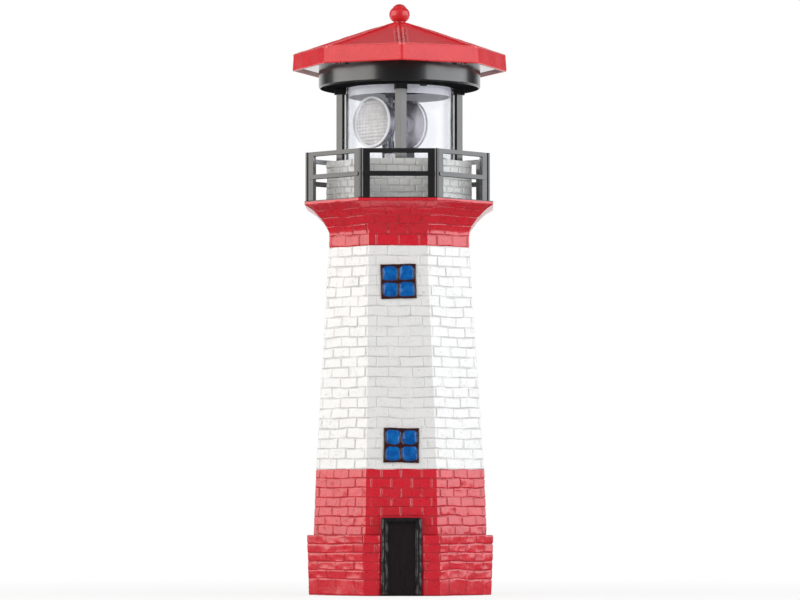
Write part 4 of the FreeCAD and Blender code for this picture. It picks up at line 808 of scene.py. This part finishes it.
def cell_glass():
    """Dark blue solar cells with their fine silver lines."""
    n = Nodes("cell_glass")
    links = {"Vector": n.place, "Scale": 160.0, "Distortion": 0.0}
    lines = n.add("ShaderNodeTexWave", links, bands_direction="X").outputs["Fac"]
    blue = n.mix(n.noise(0.006), colour(16, 22, 54), colour(28, 38, 84))
    n.set(Base_Color=n.mix(n.rise(lines, 0.93, 0.99), blue, colour(176, 180, 188)))
    n.set(Roughness=n.patchy(n.noise(0.01), 0.1, 0.18), Coat_Weight=1.0, Coat_Roughness=0.04)
    return n.material


MATERIALS = {
    "casting": masonry_paint(),
    "black_plastic": plastic(
        "black_moulded",
        colour(34, 34, 36),
        colour(30, 30, 32),
        shine=0.3,
        swell=0.02,
        depth=0.00001,
        coat=1.0,
        gloss=1.0,
        under=0.85,
    ),
    "clear_plastic": see_through("clear_moulded", colour(247, 248, 251), 0.03, depth=0.0001, index=1.3),
    "lens_plastic": see_through("pebbled_lens", colour(251, 249, 245), 0.12, milky=0.38),
    "frosted_plastic": plastic("frosted", colour(240, 239, 244), colour(234, 233, 239), 0.5),
    "white_plastic": plastic("white_moulded", colour(236, 236, 234), colour(228, 228, 226), 0.32),
    "red_plastic": plastic("red_moulded", colour(222, 44, 52), colour(212, 36, 46), 0.3, coat=0.5),
    "solar_cell": cell_glass(),
    "screw_steel": metal("zinc_plate", colour(186, 188, 190), colour(160, 162, 166), 0.3),
    "spindle_steel": metal("ground_steel", colour(120, 121, 124), colour(98, 99, 103), 0.3, (1, 1, 9)),
    "spring_steel": metal("nickel_strip", colour(214, 214, 216), colour(190, 191, 194), 0.2),
    "motor_steel": metal("plated_case", colour(200, 201, 203), colour(176, 178, 182), 0.25),
    "switch_steel": metal("switch_case", colour(204, 205, 207), colour(180, 182, 186), 0.28),
    "board": plastic("circuit_board", colour(18, 96, 52), colour(14, 78, 42), 0.35),
    "battery_can": plastic("battery_sleeve", colour(52, 128, 74), colour(44, 112, 64), 0.25),
    "brass": metal("brass", colour(214, 178, 92), colour(186, 150, 74), 0.22),
    "lamp_glass": see_through("lamp_glass", colour(250, 247, 232), 0.05),
}

for part in frame["record"]["subparts"]:
    node = frame["nodes"][part["node"]]
    finish = MATERIALS[part["material_slot"]]
    if not node.material_slots:
        node.data.materials.append(finish)
    for entry in node.material_slots:
        entry.material = finish

dress(make_masonry(), MATERIALS["casting"], "tower", "casting", "tower_casting")
windows = window_paint()
dress(make_window("upper_window", UPPER_WINDOW, math.radians(0.9), 71), windows, "tower", "casting")
dress(make_window("lower_window", LOWER_WINDOW, math.radians(-0.8), 83), windows, "tower", "casting")
dress(make_door(), door_paint(), "tower", "casting")
dress(make_roof(), roof_plastic(), "head", "red_plastic", "roof")
clear = see_through("clear_stem", colour(240, 242, 244), 0.02, depth=0.00005, index=1.1)
frame["nodes"]["beacon_stem"].material_slots[0].material = clear
# Clear bowls whose rims are painted milky white as a painted highlight.
rimmed = see_through("rimmed_head", colour(234, 232, 240), 0.02, depth=0.00005, index=1.12, rim=True)
for side, end in ((1, "front"), (-1, "rear")):
    frame["nodes"][f"{end}_bowl"].material_slots[0].material = rimmed
    lens = make_lens(f"{end}_pebbled_lens", side)
    dress(lens, MATERIALS["lens_plastic"], "beacon", "lens_plastic", f"{end}_lens")
    cup = make_sleeve(f"{end}_lamp_cup", side)
    dress(cup, MATERIALS["white_plastic"], "beacon", "white_plastic")


# Studio.
def make_floor():
    """A pale floor that keeps a faint shadow and meets the white background."""
    mesh = bpy.data.meshes.new("studio_floor")
    corners = [(-1, -1), (1, -1), (1, 1), (-1, 1)]
    mesh.from_pydata([(FLOOR_HALF * x, FLOOR_HALF * y, 0) for x, y in corners], [], [(0, 1, 2, 3)])
    floor = bpy.data.objects.new("studio_floor", mesh)
    bpy.context.scene.collection.objects.link(floor)
    n = Nodes("studio_floor")
    n.set(Base_Color=n.mix(n.noise(0.4), colour(244, 244, 243), colour(240, 240, 239)), Roughness=0.8)
    path = n.add("ShaderNodeLightPath").outputs
    direct = n.math("ADD", path["Is Camera Ray"], path["Is Transmission Ray"], clamp=True)
    strength = n.math("MAXIMUM", direct, n.rise(n.apart(n.place)[1], 0.2, 0.8, 0.04, 0.9))
    glow = n.add("ShaderNodeEmission", {"Color": (1, 1, 1, 1), "Strength": strength})
    away = n.add("ShaderNodeVectorMath", {"Vector": n.place}, operation="LENGTH").outputs["Value"]
    seen = n.times(direct, n.rise(away, 0.1, 0.7, 0.8, 1.0))
    n.mix_with(n.math("ADD", seen, path["Is Glossy Ray"], clamp=True), glow)
    mesh.materials.append(n.material)


def make_world():
    """White for what the camera and glass see, bright low behind for gloss, and grey for light."""
    world = bpy.data.worlds.new("studio")
    world.use_nodes = True
    bpy.context.scene.world = world
    n = Tree(world.node_tree)
    path = n.add("ShaderNodeLightPath").outputs
    _, north, up = n.apart(n.add("ShaderNodeTexCoord").outputs["Generated"])
    behind = n.rise(north, 0.7, 0.92, 0.03, 0.75, "LINEAR")
    above = n.rise(up, 0.25, 0.5, 1.0, 0.08, "LINEAR")
    strength = n.choose(path["Is Glossy Ray"], 0.5, n.times(behind, above))
    strength = n.choose(path["Is Transmission Ray"], strength, 1.0)
    strength = n.choose(path["Is Camera Ray"], strength, 1.0)
    ground = n.tree.nodes["Background"]
    n.feed(ground.inputs["Color"], (1, 1, 1, 1))
    n.feed(ground.inputs["Strength"], strength)


def softbox(name, place, aim, size, power, tint, mirrored=True):
    """A large soft lamp that faces a point, and shows in gloss or not."""
    lamp = bpy.data.lights.new(name, "AREA")
    lamp.shape = "RECTANGLE"
    lamp.size, lamp.size_y = size
    lamp.energy = power
    lamp.color = tint
    made = bpy.data.objects.new(name, lamp)
    made.visible_glossy = mirrored
    made.location = place
    made.rotation_euler = (Vector(aim) - Vector(place)).to_track_quat("-Z", "Y").to_euler()
    bpy.context.scene.collection.objects.link(made)


def make_camera():
    """The photograph's view: low, far off and a little to the left."""
    camera = bpy.data.cameras.new("camera")
    camera.lens = CAMERA_LENS
    camera.sensor_width = SENSOR
    camera.clip_start = 0.05
    camera.clip_end = 50
    made = bpy.data.objects.new("camera", camera)
    place = Vector((math.sin(CAMERA_TURN), -math.cos(CAMERA_TURN), 0)) * CAMERA_DISTANCE
    place.z = CAMERA_HEIGHT
    made.location = place
    made.rotation_euler = (CAMERA_AIM - place).to_track_quat("-Z", "Y").to_euler()
    bpy.context.scene.collection.objects.link(made)
    bpy.context.scene.camera = made


make_floor()
make_world()
softbox("left_box", (-1.24, -0.4, 0.6), SIDE_BOX_AIM, SIDE_BOX_SIZE, 14.4, (1.0, 0.975, 0.93))
softbox("right_box", (1.24, -0.4, 0.6), SIDE_BOX_AIM, SIDE_BOX_SIZE, 15.2, (0.96, 0.975, 1.0))
softbox("front_box", (0, -1.9, 1.9), (0, 0, 0.15), (1.4, 1.0), 6.0, (1.0, 1.0, 1.0), False)
make_camera()
bpy.context.scene.view_settings.view_transform = "Standard"
